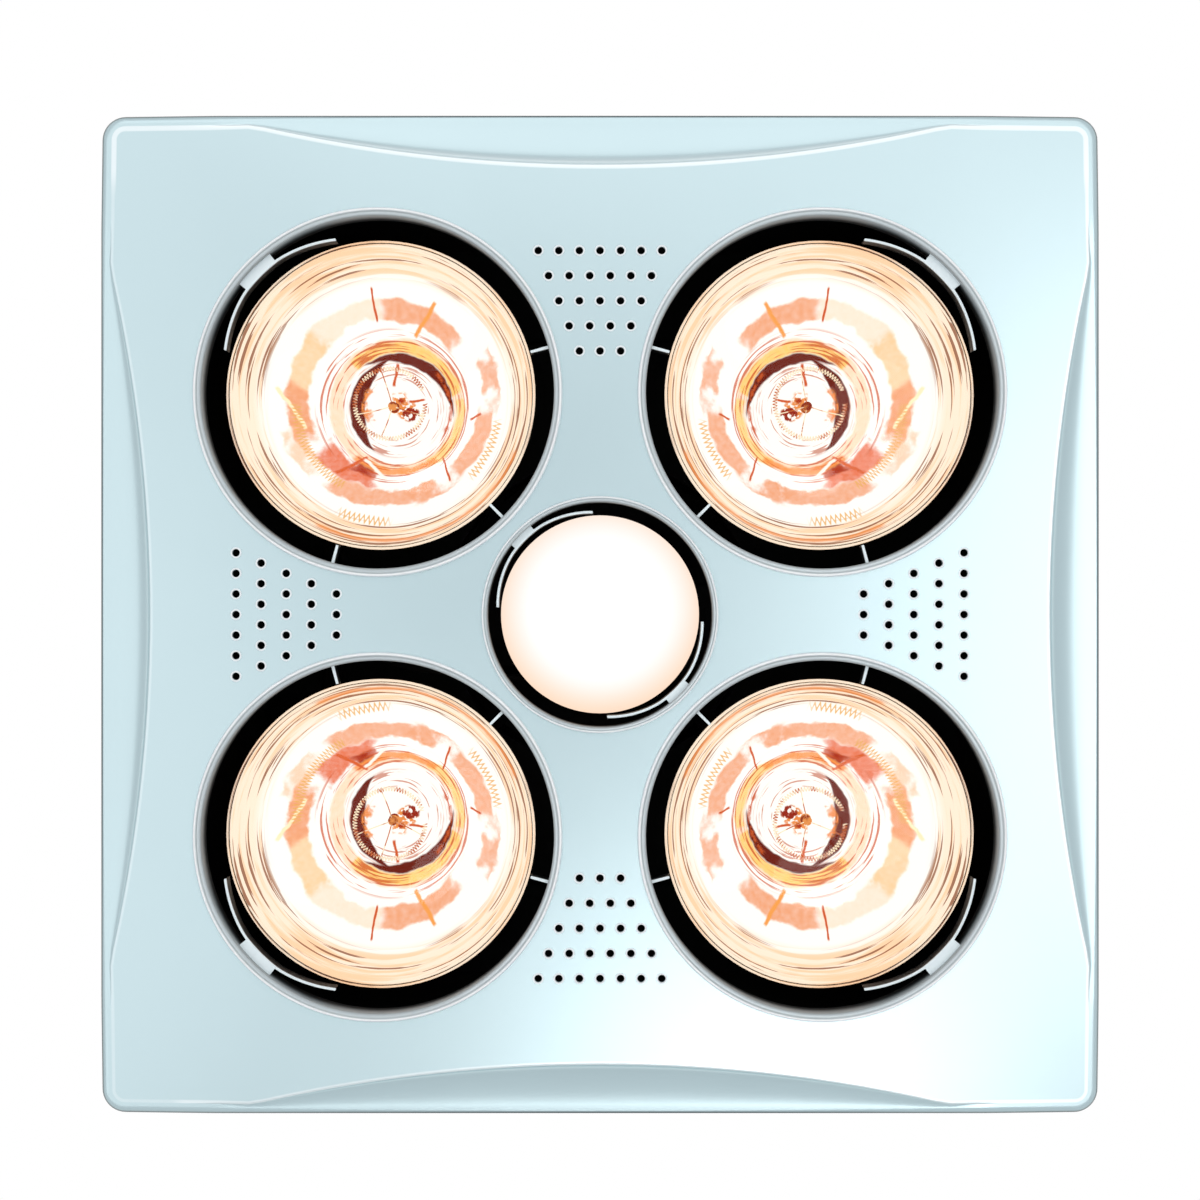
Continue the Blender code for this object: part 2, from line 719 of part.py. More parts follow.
def make_case():
    case = place("case_box", mesh_of("case", add_case_shell), galvanised("galvanised case"), rounded=False)
    join(case, "tabs", add_case_tabs)
    cut(case, "openings", add_case_cuts)


def add_clamp_screw(bm):
    head_top = -SHEET - GAP
    head, shank = CLAMP_HEAD_DIAMETER / 2, CLAMP_SCREW_DIAMETER / 2
    low = head_top - CLAMP_HEAD_HEIGHT
    profile = ((0, low), (head, low), (head, head_top), (shank, head_top), (shank, CLAMP_SCREW_LENGTH))
    add_turned(bm, profile + ((0, CLAMP_SCREW_LENGTH),), SMALL_FACETS)


def add_dog_hub(bm):
    """The dog in plan, from its foot's level up: a round hub with an arm along +X."""
    hub = arc_points(DOG_DIAMETER / 2, 60, 300, 8)
    half = DOG_DIAMETER / 2 * math.sin(math.radians(60))
    outline = hub + [(DOG_REACH, -half), (DOG_REACH, half)]
    add_prism(bm, outline, DOG_TOE_HEIGHT, DOG_HEIGHT)


def add_dog_toe(bm):
    half = DOG_DIAMETER / 2 * math.sin(math.radians(60))
    add_box(bm, (DOG_REACH - DOG_TOE, -half + GAP, 0), (DOG_REACH - GAP, half - GAP, DOG_HEIGHT / 2))


def add_dog_bore(bm):
    radius = CLAMP_SCREW_DIAMETER / 2 + GAP
    add_cylinder(bm, radius, -OVERRUN, DOG_HEIGHT + OVERRUN, SMALL_FACETS)


def make_clamps():
    for number, (x, y) in enumerate(clamp_places(), 1):
        axis = axis_empty(f"clamp_{number}_axis", (x, y, 0))
        screw_mesh = mesh_of("clamp screw", add_clamp_screw)
        place(f"clamp_screw_{number}", screw_mesh, steel("clamp screw"), parent=axis)
        dog = place(
            f"clamp_dog_{number}",
            mesh_of("clamp dog", add_dog_hub),
            galvanised("clamp dog"),
            rise(THINNEST_BOARD),
            axis,
            0 if x > 0 else 180,
        )
        join(dog, "toe", add_dog_toe)
        cut(dog, "bore", add_dog_bore)


def glass_outline(diameter, length, shares):
    """(radius, height) points up the glass from its apex to its open neck."""
    outline = [(0, 0)]
    outline += [(radius * diameter / 2, height * length) for radius, height in shares]
    return outline + [(NECK_DIAMETER / 2, length)]


def inner_outline(outline):
    """The same outline one wall further in, found from the slope at each point."""
    inner = [(0, outline[0][1] + GLASS_WALL)]
    for (r0, z0), (r1, z1), (r2, z2) in zip(outline, outline[1:], outline[2:]):
        across, along = Vector((r1 - r0, z1 - z0)).normalized() + Vector((r2 - r1, z2 - z1)).normalized()
        length = math.hypot(across, along)
        inner.append((r1 - GLASS_WALL * along / length, z1 + GLASS_WALL * across / length))
    neck_radius, neck_height = outline[-1]
    return inner + [(neck_radius - GLASS_WALL, neck_height)]


def add_cap(bm):
    """A screw cap, from its flange at height zero up to its contact."""
    flange, shell, contact = NECK_DIAMETER / 2, CAP_DIAMETER / 2, CONTACT_DIAMETER / 2
    profile = (
        (0, 0),
        (flange, 0),
        (flange, CAP_FLANGE_HEIGHT),
        (shell, CAP_FLANGE_HEIGHT),
        (shell, CAP_LENGTH - CAP_SHOULDER),
        (contact, CAP_LENGTH - CONTACT_HEIGHT),
        (contact, CAP_LENGTH),
        (0, CAP_LENGTH),
    )
    add_turned(bm, profile, SOCKET_FACETS)


def make_lamp(name, place_point, diameter, length, shares, filament_share, stem_end_share, glass_colour):
    """One lamp as three pieces on a common axis: glass, cap and stem with filament."""
    axis = axis_empty(f"{name}_axis", (*place_point, APEX))
    glass_length = length - CAP_LENGTH - GAP
    outline = glass_outline(diameter, glass_length, shares)

    def add_glass(bm):
        add_turned(bm, inner_outline(outline) + outline[::-1], LAMP_FACETS)

    filament_height = filament_share * glass_length
    stem_end = stem_end_share * glass_length
    ring, wire, stem = FILAMENT_DIAMETER / 2, FILAMENT_WIRE / 2, STEM_DIAMETER / 2

    def add_stem(bm):
        flare_top = glass_length
        profile = (
            (0, stem_end),
            (stem, stem_end),
            (stem, flare_top - STEM_FLARE_HEIGHT),
            (STEM_FLARE_DIAMETER / 2, flare_top),
            (0, flare_top),
        )
        add_turned(bm, profile, 8)

    def add_supports(bm):
        """Two wires from the stem's end out to the filament."""
        for side in (-1, 1):
            start = Vector((side * stem / 2, 0, stem_end + stem))
            end = Vector((side * ring, 0, filament_height))
            run = end - start
            matrix = Matrix.Translation(start) @ run.to_track_quat("Z", "Y").to_matrix().to_4x4()
            add_cylinder(bm, SUPPORT_WIRE / 2, 0, run.length, 4, matrix)

    def add_filament(bm):
        section = arc_points(wire, 0, 288, 4, (ring, filament_height))
        add_turned(bm, section, 16)

    glass = principled(f"{name} glass", glass_colour, 0.08)
    place(f"{name}_glass", mesh_of("glass", add_glass), glass, parent=axis)
    place(f"{name}_cap", mesh_of("cap", add_cap), steel("lamp cap"), rise(glass_length + GAP), axis)
    filament = place(f"{name}_filament", mesh_of("stem", add_stem), steel("filament"), parent=axis)
    join(filament, "filament", add_filament)
    join(filament, "supports", add_supports)


def make_lamps():
    for number, point in enumerate(HEAT_LAMP_PLACES, 1):
        make_lamp(
            f"heat_lamp_{number}",
            point,
            HEAT_LAMP_DIAMETER,
            HEAT_LAMP_LENGTH,
            HEAT_GLASS_SHARES,
            HEAT_FILAMENT_SHARE,
            HEAT_STEM_END_SHARE,
            (0.95, 0.72, 0.52),
        )
    make_lamp(
        "light_lamp",
        (0, 0),
        LIGHT_DIAMETER,
        LIGHT_LENGTH,
        LIGHT_GLASS_SHARES,
        LIGHT_FILAMENT_SHARE,
        LIGHT_STEM_END_SHARE,
        (0.96, 0.94, 0.88),
    )


def add_holder(bm):
    """A porcelain lampholder: height zero is the end of the cap's contact, and the mouth is below it."""
    mouth = -CAP_LENGTH + CAP_FLANGE_HEIGHT + GAP
    crown = GAP + HOLDER_CROWN_HEIGHT
    bore, body, base = HOLDER_BORE_DIAMETER / 2, HOLDER_DIAMETER / 2, HOLDER_BASE_DIAMETER / 2
    profile = (
        (0, GAP),
        (bore, GAP),
        (bore, mouth),
        (body, mouth),
        (body, crown - HOLDER_BASE_HEIGHT),
        (base, crown - HOLDER_BASE_HEIGHT + HOLDER_LIP),
        (base, crown),
        (0, crown),
    )
    add_turned(bm, profile, SOCKET_FACETS)


def add_socket_shell(bm):
    """The threaded metal shell that lines the lampholder's bore."""
    outer = HOLDER_BORE_DIAMETER / 2 * math.cos(math.pi / SOCKET_FACETS) - GAP / 2
    inner = outer - SHELL_WALL
    low = -CAP_LENGTH + CAP_FLANGE_HEIGHT + 2 * GAP
    profile = ((inner, low), (outer, low), (outer, 0), (inner, 0))
    add_turned(bm, profile, SOCKET_FACETS)


def make_holders():
    places = [(f"heat_{n}", x, y, HEAT_TIP) for n, (x, y) in enumerate(HEAT_LAMP_PLACES, 1)]
    for name, x, y, tip in places + [("light", 0, 0, LIGHT_TIP)]:
        point = (x, y, tip)
        place(f"lampholder_{name}", mesh_of("lampholder", add_holder), porcelain("porcelain"), point)
        place(f"socket_shell_{name}", mesh_of("socket shell", add_socket_shell), brass("socket shell"), point)


def make_light_bracket():
    """A strip across the case with its ends turned up against the walls."""
    end = CASE_INSIDE - GAP
    low, thick = LIGHT_BRACKET_LOW, LIGHT_BRACKET_SHEET
    top = low + LIGHT_BRACKET_TAB
    outline = (
        (-end, low),
        (end, low),
        (end, top),
        (end - thick, top),
        (end - thick, low + thick),
        (-end + thick, low + thick),
        (-end + thick, top),
        (-end, top),
    )

    def add_strip(bm):
        add_prism(bm, outline, -LIGHT_BRACKET_WIDTH / 2, LIGHT_BRACKET_WIDTH / 2, UPRIGHT)

    place("light_bracket", mesh_of("light bracket", add_strip), galvanised("light bracket"), rounded=False)


def motor_bracket_profile():
    """Half the four-armed bracket's section, from its middle out to a pad under the roof, then back."""
    top, sheet = ROOF - GAP, BRACKET_SHEET
    low = BRACKET_LOW
    knee = DUCT_BORE / 2 + BRACKET_DROP
    end = knee + BRACKET_PAD
    right = [(knee, low), (knee, top - sheet), (end, top - sheet), (end, top), (knee - sheet, top)]
    right.append((knee - sheet, low + sheet))
    left = [(-x, z) for x, z in right[::-1]]
    return right + left


def add_bracket_strip(angle):
    def add_strip(bm):
        half = BRACKET_ARM_WIDTH / 2
        add_prism(bm, motor_bracket_profile(), -half, half, turn_about_z(angle) @ UPRIGHT)

    return add_strip


def add_bracket_hub(bm):
    middle, half = BRACKET_LOW + BRACKET_SHEET / 2, BEARING_HEIGHT / 2
    add_cylinder(bm, BEARING_DIAMETER / 2, middle - half, middle + half, SOCKET_FACETS)


def motor_post_places():
    across = STATOR_FRONT - POST_DIAMETER / 2 - OVERRUN
    return [(x * across, y * across) for y in (-1, 1) for x in (-1, 1)]


def add_bracket_posts(bm):
    """Four posts from the arms down to the stator."""
    for x, y in motor_post_places():
        low, high = STATOR_TOP + GAP, BRACKET_LOW + BRACKET_SHEET / 2
        add_cylinder(bm, POST_DIAMETER / 2, low, high, SMALL_FACETS, Matrix.Translation((x, y, 0)))


def add_shaft_bore(bm):
    radius = SHAFT_DIAMETER / 2 + BEARING_CLEARANCE
    low = BRIDGE_LOW - BEARING_HEIGHT
    add_cylinder(bm, radius, low, ROOF, SOCKET_FACETS)


def make_motor_bracket():
    strip = mesh_of("motor bracket", add_bracket_strip(45))
    bracket = place("motor_bracket", strip, galvanised("motor bracket"))
    join(bracket, "cross_strip", add_bracket_strip(135))
    join(bracket, "upper_bearing", add_bracket_hub)
    join(bracket, "posts", add_bracket_posts)
    cut(bracket, "shaft_bore", add_shaft_bore)


def add_stator_block(bm):
    half = STATOR_WIDTH / 2
    add_box(bm, (-STATOR_BACK, -half, STATOR_LOW), (STATOR_FRONT, half, STATOR_TOP))


def add_stator_cuts(bm):
    low, high = STATOR_LOW - OVERRUN, STATOR_TOP + OVERRUN
    add_cylinder(bm, STATOR_BORE / 2, low, high, 20)
    near = -STATOR_BACK + STATOR_LEG
    half = STATOR_WINDOW_WIDTH / 2
    add_box(bm, (near, -half, low), (near + STATOR_WINDOW_DEPTH, half, high))


def add_coil_block(bm):
    near, far = -STATOR_BACK - COIL_WALL, -STATOR_BACK + STATOR_LEG + COIL_WALL
    half = STATOR_WINDOW_WIDTH / 2 - RUNNING_GAP
    add_box(bm, (near, -half, STATOR_LOW - COIL_WALL), (far, half, STATOR_TOP + COIL_WALL))


def add_coil_opening(bm):
    near, far = -STATOR_BACK - GAP, -STATOR_BACK + STATOR_LEG + GAP
    half = STATOR_WINDOW_WIDTH / 2 + OVERRUN
    add_box(bm, (near, -half, STATOR_LOW - GAP), (far, half, STATOR_TOP + GAP))


def make_motor():
    lamination = principled("stator laminations", (0.30, 0.31, 0.33), 0.5, 0.8)
    stator = place("motor_stator", mesh_of("stator", add_stator_block), lamination)
    cut(stator, "bore_and_window", add_stator_cuts)
    winding = principled("coil tape", (0.75, 0.55, 0.12), 0.6)
    coil = place("motor_coil", mesh_of("coil", add_coil_block), winding, rounded=False)
    cut(coil, "core_opening", add_coil_opening)


def make_motor_bridge():
    """The lower bearing's bridge, which reaches up to the stator on both sides of the rotor."""
    end, sheet = STATOR_WIDTH / 2 - OVERRUN, BRACKET_SHEET
    top, low = STATOR_LOW - GAP, BRIDGE_LOW
    outline = (
        (-end, low),
        (end, low),
        (end, top),
        (end - sheet, top),
        (end - sheet, low + sheet),
        (-end + sheet, low + sheet),
        (-end + sheet, top),
        (-end, top),
    )

    def add_strip(bm):
        half = BRIDGE_WIDTH / 2
        add_prism(bm, outline, -half, half, turn_about_z(90) @ UPRIGHT)

    def add_hub(bm):
        middle = low + sheet / 2
        half = BEARING_HEIGHT / 2
        add_cylinder(bm, BRIDGE_WIDTH / 2 - GAP, middle - half, middle + half, SOCKET_FACETS)

    bridge_piece = place("motor_bridge", mesh_of("motor bridge", add_strip), galvanised("motor bridge"))
    join(bridge_piece, "lower_bearing", add_hub)
    cut(bridge_piece, "shaft_bore", add_shaft_bore)


def add_rotor(bm):
    """The shaft with the rotor's steel body inside the stator."""
    shaft, rotor = SHAFT_DIAMETER / 2, ROTOR_DIAMETER / 2
    low, high = STATOR_LOW + OVERRUN, STATOR_TOP - OVERRUN
    end = HUB_TOP + GAP + NUT_HEIGHT
    start = BRIDGE_LOW - BEARING_HEIGHT / 2
    profile = [(0, start), (shaft, start), (shaft, low), (rotor, low), (rotor, high)]
    profile += [(shaft, high), (shaft, end), (0, end)]
    add_turned(bm, profile, SOCKET_FACETS)


def add_hub(bm):
    bore, outer = SHAFT_DIAMETER / 2 + GAP, HUB_DIAMETER / 2
    chamfer = BLADE_THICKNESS
    profile = (
        (bore, HUB_LOW),
        (outer, HUB_LOW),
        (outer, HUB_TOP - chamfer),
        (outer - chamfer, HUB_TOP),
        (bore, HUB_TOP),
    )
    add_turned(bm, profile, 24)


def blade_points(side):
    """Rows of points along one face of a blade, from inside the hub out to the tip."""
    rows = []
    inner, outer = HUB_DIAMETER / 2 - OVERRUN, FAN_DIAMETER / 2
    middle = (HUB_LOW + HUB_TOP) / 2
    for k in range(BLADE_STATIONS):
        share = k / (BLADE_STATIONS - 1)
        radius = inner + (outer - inner) * share
        chord = BLADE_ROOT_CHORD + (BLADE_TIP_CHORD - BLADE_ROOT_CHORD) * share
        pitch = math.radians(BLADE_ROOT_PITCH + (BLADE_TIP_PITCH - BLADE_ROOT_PITCH) * share)
        row = []
        for along in BLADE_CHORD_SHARES:
            bulge = chord * BLADE_CAMBER_SHARE * (1 - (2 * along) ** 2)
            around = along * chord * math.cos(pitch) / radius
            height = middle - along * chord * math.sin(pitch) + bulge + side * BLADE_THICKNESS / 2
            row.append(Vector((radius * math.cos(around), radius * math.sin(around), height)))
        rows.append(row)
    return rows


def add_blades(bm):
    lower, upper = blade_points(-1), blade_points(1)
    for k in range(BLADES):
        turn = turn_about_z(360 * k / BLADES)
        loops = [[turn @ point for point in low + high[::-1]] for low, high in zip(lower, upper)]
        add_loops(bm, loops, closed=False)


def add_nut(bm):
    sides = 6
    bore, outer = (SHAFT_DIAMETER / 2 + GAP) / math.cos(math.pi / sides), NUT_DIAMETER / 2
    low, high = HUB_TOP + GAP, HUB_TOP + GAP + NUT_HEIGHT
    profile = ((bore, low), (outer, low), (outer, high), (bore, high))
    add_turned(bm, profile, sides)


def make_rotor():
    axis = axis_empty("fan_axis", (0, 0, 0))
    place("rotor_shaft", mesh_of("rotor", add_rotor), steel("rotor"), parent=axis)
    hub = mesh_of("impeller hub", add_hub)
    impeller = place("impeller", hub, black_plastic("impeller plastic"), parent=axis)
    join(impeller, "blades", add_blades)
    place("impeller_nut", mesh_of("nut", add_nut), brass("impeller nut"), parent=axis, rounded=False)


def add_spigot_tube(bm):
    bore, outer = DUCT_BORE / 2, DUCT_BORE / 2 + DUCT_WALL
    flange = outer + SPIGOT_FLANGE_REACH
    foot, top = SPIGOT_FOOT, SPIGOT_FOOT + DUCT_HEIGHT
    shelf = foot + SPIGOT_FLANGE_THICKNESS
    profile = ((bore, foot), (flange, foot), (flange, shelf), (outer, shelf), (outer, top), (bore, top))
    add_turned(bm, profile, RING_FACETS)


def add_flap_stops(bm):
    high = FLAP_AXIS - FLAP_THICKNESS / 2 - GAP
    outer = DUCT_BORE / 2 + DUCT_WALL / 2
    for angle in (45, 135, 225, 315):
        low_corner = (DUCT_BORE / 2 - STOP_REACH, -STOP_WIDTH / 2, high - STOP_HEIGHT)
        add_box(bm, low_corner, (outer, STOP_WIDTH / 2, high), turn_about_z(angle))


def add_pin_holes(bm):
    radius, half = PIN_DIAMETER / 2 + GAP, DUCT_BORE / 2 + DUCT_WALL + OVERRUN
    add_cylinder(bm, radius, -half, half, SMALL_FACETS, Matrix.Translation(rise(FLAP_AXIS)) @ ALONG_Y)


def make_spigot():
    spigot = place("duct_spigot", mesh_of("spigot", add_spigot_tube), galvanised("duct spigot"))
    join(spigot, "flap_stops", add_flap_stops)
    cut(spigot, "pin_holes", add_pin_holes)


def add_flap_pin(bm):
    half = DUCT_BORE / 2 + DUCT_WALL + PIN_OVERHANG
    add_cylinder(bm, PIN_DIAMETER / 2, -half, half, SMALL_FACETS, ALONG_Y)


def knuckle_spans():
    """The two stretches of the pin that the flap on the +X side holds; the other flap has their mirror."""
    near = RUNNING_GAP / 2
    far = KNUCKLE_LENGTH + 3 * near
    return ((near, near + KNUCKLE_LENGTH), (-far - KNUCKLE_LENGTH, -far))


def add_flap_plate(bm):
    """A half disc on +X whose straight edge stays clear of the other flap's knuckles."""
    radius = DUCT_BORE / 2 - FLAP_CLEARANCE
    edge = KNUCKLE_DIAMETER / 2 + RUNNING_GAP
    reach = math.degrees(math.acos(edge / radius))
    outline = arc_points(radius, -reach, reach, 18)
    add_prism(bm, outline, -FLAP_THICKNESS / 2, FLAP_THICKNESS / 2)


def add_flap_knuckles(bm):
    for low, high in knuckle_spans():
        add_cylinder(bm, KNUCKLE_DIAMETER / 2, low, high, SMALL_FACETS, ALONG_Y)


def add_flap_tongues(bm):
    half = FLAP_THICKNESS / 2
    for low, high in knuckle_spans():
        add_box(bm, (0, low + GAP, -half + GAP / 2), (KNUCKLE_DIAMETER, high - GAP, half - GAP / 2))


def add_flap_bore(bm):
    add_cylinder(bm, PIN_DIAMETER / 2 + GAP, -DUCT_BORE / 2, DUCT_BORE / 2, SMALL_FACETS, ALONG_Y)


def make_flaps():
    place("damper_pin", mesh_of("damper pin", add_flap_pin), steel("damper pin"), rise(FLAP_AXIS))
    for name, turn in (("flap_left", 180), ("flap_right", 0)):
        sheet = principled("flap aluminium", (0.75, 0.76, 0.78), 0.35, 0.9)
        flap = place(name, mesh_of("flap", add_flap_plate), sheet, rise(FLAP_AXIS), turn=turn)
        join(flap, "knuckles", add_flap_knuckles)
        join(flap, "tongues", add_flap_tongues)
        cut(flap, "bore", add_flap_bore)


def add_box_tray(bm):
    a, b, wall = BOX_LENGTH / 2, BOX_WIDTH / 2, BOX_WALL
    rows = ((a - wall, b - wall, BOX_FLOOR), (a - wall, b - wall, BOX_TOP), (a, b, BOX_TOP), (a, b, BOX_FOOT))
    add_rectangles(bm, rows, (-BOX_PLACE, 0))


def add_box_cuts(bm):
    """The leads' slot through the floor and the gland's hole through the end wall."""
    x, half_length, half_width = -SLOT_PLACE, SLOT_LENGTH / 2, SLOT_WIDTH / 2
    low, high = BOX_FOOT - OVERRUN, BOX_FLOOR + OVERRUN
    add_box(bm, (x - half_length, -half_width, low), (x + half_length, half_width, high))
    end = -BOX_PLACE - BOX_LENGTH / 2
    matrix = Matrix.Translation((end, 0, BOX_FOOT + GLAND_RISE)) @ ALONG_X
    radius = GLAND_THREAD_DIAMETER / 2 + GAP
    add_cylinder(bm, radius, -OVERRUN, BOX_WALL + OVERRUN, SOCKET_FACETS, matrix)


def add_cover(bm):
    """A lid that rests on the tray's rim, with a lip that reaches inside it."""
    a, b = BOX_LENGTH / 2, BOX_WIDTH / 2
    inset, wall = BOX_WALL + GAP, BOX_WALL
    low = BOX_TOP + GAP
    lip = BOX_TOP - COVER_LIP
    rows = (
        (a - inset - wall, b - inset - wall, low),
        (a - inset - wall, b - inset - wall, lip),
        (a - inset, b - inset, lip),
        (a - inset, b - inset, low),
        (a, b, low),
        (a, b, low + COVER_THICKNESS),
    )
    add_rectangles(bm, rows, (-BOX_PLACE, 0))


def terminal_block_outline():
    """The block's comb section: a barrier on each side of every way."""
    way = LEAD_PITCH
    base = BOX_FLOOR + GAP
    shelf, top = base + BLOCK_HEIGHT - BLOCK_BARRIER_HEIGHT, base + BLOCK_HEIGHT
    half = (LEAD_COUNT * way + BLOCK_BARRIER) / 2
    outline = [(-half, base)]
    for k in range(LEAD_COUNT + 1):
        start = -half + k * way
        end = start + BLOCK_BARRIER
        outline += [(start, shelf), (start, top), (end, top), (end, shelf)]
    outline = [outline[0]] + outline[2:-1]
    return outline + [(half, base)]


def make_terminal_box():
    shell = galvanised("terminal box steel")
    tray = place("terminal_box", mesh_of("terminal box", add_box_tray), shell, rounded=False)
    cut(tray, "slot_and_gland_hole", add_box_cuts)
    cover_steel = galvanised("terminal cover steel")
    place("terminal_cover", mesh_of("terminal cover", add_cover), cover_steel, rounded=False)

    def add_block(bm):
        matrix = Matrix.Translation((-BLOCK_PLACE, 0, 0)) @ turn_about_z(90) @ UPRIGHT
        add_prism(bm, terminal_block_outline(), -BLOCK_LENGTH / 2, BLOCK_LENGTH / 2, matrix)

    place("terminal_block", mesh_of("terminal block", add_block), porcelain("terminal block"), rounded=False)


def make_gland():
    """The cable gland: a flange against the box, a thread through its wall and a hollow body outside."""
    end = -BOX_PLACE - BOX_LENGTH / 2
    bore, thread = GLAND_BORE / 2, GLAND_THREAD_DIAMETER / 2
    flange, body = GLAND_DIAMETER / 2, GLAND_BODY_DIAMETER / 2
    inside = BOX_WALL + GLAND_FLANGE / 2

    def add_body(bm):
        profile = (
            (bore, -GAP - GLAND_LENGTH),
            (body, -GAP - GLAND_LENGTH),
            (body, -GAP - GLAND_FLANGE),
            (flange, -GAP - GLAND_FLANGE),
            (flange, -GAP),
            (thread, -GAP),
            (thread, inside),
            (bore, inside),
        )
        add_turned(bm, profile, 12, ALONG_X)

    mesh = mesh_of("cable gland", add_body)
    place("cable_gland", mesh, black_plastic("gland nylon"), (end, 0, BOX_FOOT + GLAND_RISE))


def make_thermal_cutout():
    """A bimetal disc switch under the roof, with two blade tabs."""
    top = ROOF - GAP
    flange, body = CUTOUT_FLANGE_DIAMETER / 2, CUTOUT_DIAMETER / 2
    shelf, low = top - SHEET, top - CUTOUT_HEIGHT

    def add_body(bm):
        profile = ((0, top), (flange, top), (flange, shelf), (body, shelf), (body, low), (0, low))
        add_turned(bm, profile, SOCKET_FACETS)

    def add_tabs(bm):
        half_width, half_thickness = CUTOUT_TAB_WIDTH / 2, SHEET / 2
        for side in (-1, 1):
            y = side * CUTOUT_TAB_SPACING / 2
            bottom = (-half_width, y - half_thickness, low - CUTOUT_TAB_LENGTH)
            add_box(bm, bottom, (half_width, y + half_thickness, low + OVERRUN))

    point = (-CUTOUT_PLACE, CUTOUT_OFFSET, 0)
    switch = place("thermal_cutout", mesh_of("cut-out", add_body), steel("cut-out"), point)
    join(switch, "tabs", add_tabs)


def smooth_route(route, between):
    """Points on a smooth curve through the route's own points, with some more between each two."""
    points = [Vector(point) for point in route]
    ends = [points[0] * 2 - points[1]] + points + [points[-1] * 2 - points[-2]]
    curve = []
    for before, start, end, after in zip(ends, ends[1:], ends[2:], ends[3:]):
        for k in range(between):
            t = k / between
            bent = (end - before) * t + (before * 2 - start * 5 + end * 4 - after) * t**2
            bent += (start * 3 - before - end * 3 + after) * t**3
            curve.append(start + bent / 2)
    return curve + [points[-1]]


def lead_start(way):
    """Where a lead leaves the terminal block's face, and the bend that takes it down the slot."""
    y = (way - (LEAD_COUNT - 1) / 2) * LEAD_PITCH
    x = -BLOCK_PLACE + BLOCK_LENGTH / 2 + LEAD_END_GAP
    z = BOX_FLOOR + GAP + BLOCK_HEIGHT / 2
    return Vector((x, y, z))


def near_lead_route(side, way):
    """Along the roof to the holder on the same side as the terminal box."""
    start = lead_start(way)
    x = -SLOT_PLACE + LEAD_DIAMETER / 2
    holder_x = -LAMP_OFFSET - HOLDER_BASE_DIAMETER / 2 - LEAD_END_GAP
    bend = LEAD_PITCH
    beside = min(x, holder_x - bend / 2)
    return (
        start,
        start + Vector((bend, 0, 0)),
        (x, start.y, (start.z + LEAD_RUN) / 2),
        (x, start.y + side * bend, LEAD_RUN),
        (beside, side * (LAMP_OFFSET - 2 * bend), LEAD_RUN),
        (holder_x - bend / 2, side * LAMP_OFFSET, LEAD_RUN),
        (holder_x, side * LAMP_OFFSET, LEAD_RUN),
    )


def far_lead_route(side, way):
    """Along the roof, behind the near holder and across to the far one."""
    start = lead_start(way)
    x = -SLOT_PLACE - SLOT_LENGTH / 4
    bend = LEAD_PITCH
    around = LAMP_OFFSET + HOLDER_BASE_DIAMETER / 2 + 2 * bend
    beside = min(x, -around)
    holder_y = LAMP_OFFSET + HOLDER_BASE_DIAMETER / 2 + LEAD_END_GAP
    return (
        start,
        start + Vector((bend / 2, 0, 0)),
        start + Vector((LEAD_TURN_SHARE * bend, 0, -bend / 4)),
        (x, start.y, (start.z + LEAD_RUN) / 2),
        (x, start.y + side * bend, LEAD_RUN),
        (beside, side * (around - 2 * bend), LEAD_RUN),
        (beside + 2 * bend, side * around, LEAD_RUN),
        (0, side * around, LEAD_RUN),
        (LAMP_OFFSET - 3 * bend, side * around, LEAD_RUN),
        (LAMP_OFFSET, side * (holder_y + bend / 2), LEAD_RUN),
        (LAMP_OFFSET, side * holder_y, LEAD_RUN),
    )


def light_lead_route(way):
    """Down beside the light's bracket to the holder below it."""
    start = lead_start(way)
    side_y = LIGHT_BRACKET_WIDTH / 2 + LEAD_PITCH
    low = LIGHT_BRACKET_LOW - LEAD_PITCH
    reach = (HOLDER_BASE_DIAMETER / 2 + LEAD_END_GAP) * math.sqrt(0.5)
    return (
        start,
        start + Vector((LEAD_PITCH, 0, 0)),
        (-SLOT_PLACE, start.y, (start.z + LEAD_RUN) / 2),
        (-SLOT_PLACE, start.y + LEAD_PITCH, LEAD_RUN - LEAD_PITCH),
        (-SLOT_PLACE + LEAD_PITCH, side_y, (ROOF + low) / 2),
        (-SLOT_PLACE + 3 * LEAD_PITCH, side_y, low + 2 * LEAD_PITCH),
        (-SLOT_PLACE + 6 * LEAD_PITCH, side_y + LEAD_PITCH, low),
        (-reach - 3 * LEAD_PITCH, reach + 2 * LEAD_PITCH, low),
        (-reach - LEAD_PITCH / 2, reach + LEAD_PITCH / 2, low),
        (-reach, reach, low),
    )


def fan_lead_route(way):
    """Straight to the back of the motor's coil."""
    start = lead_start(way)
    middle = (STATOR_LOW + STATOR_TOP) / 2
    coil = -STATOR_BACK - COIL_WALL - GAP
    return (
        start,
        start + Vector((LEAD_PITCH, 0, 0)),
        (-SLOT_PLACE, start.y, (start.z + LEAD_RUN) / 2),
        (-SLOT_PLACE + LEAD_PITCH / 2, start.y, LEAD_RUN - LEAD_PITCH),
        (coil - 4 * LEAD_PITCH, start.y / 2, middle),
        (coil, 0, middle),
    )


def make_leads():
    sleeve = principled("heat lead sleeve", (0.85, 0.84, 0.80), 0.6)
    routes = {
        "lead_heat_1": near_lead_route(-1, 1),
        "lead_heat_2": far_lead_route(-1, 0),
        "lead_heat_3": near_lead_route(1, 4),
        "lead_heat_4": far_lead_route(1, 5),
        "lead_light": light_lead_route(3),
        "lead_fan": fan_lead_route(2),
    }
    for name, route in routes.items():
        tube(name, smooth_route(route, 2), LEAD_DIAMETER, sleeve)


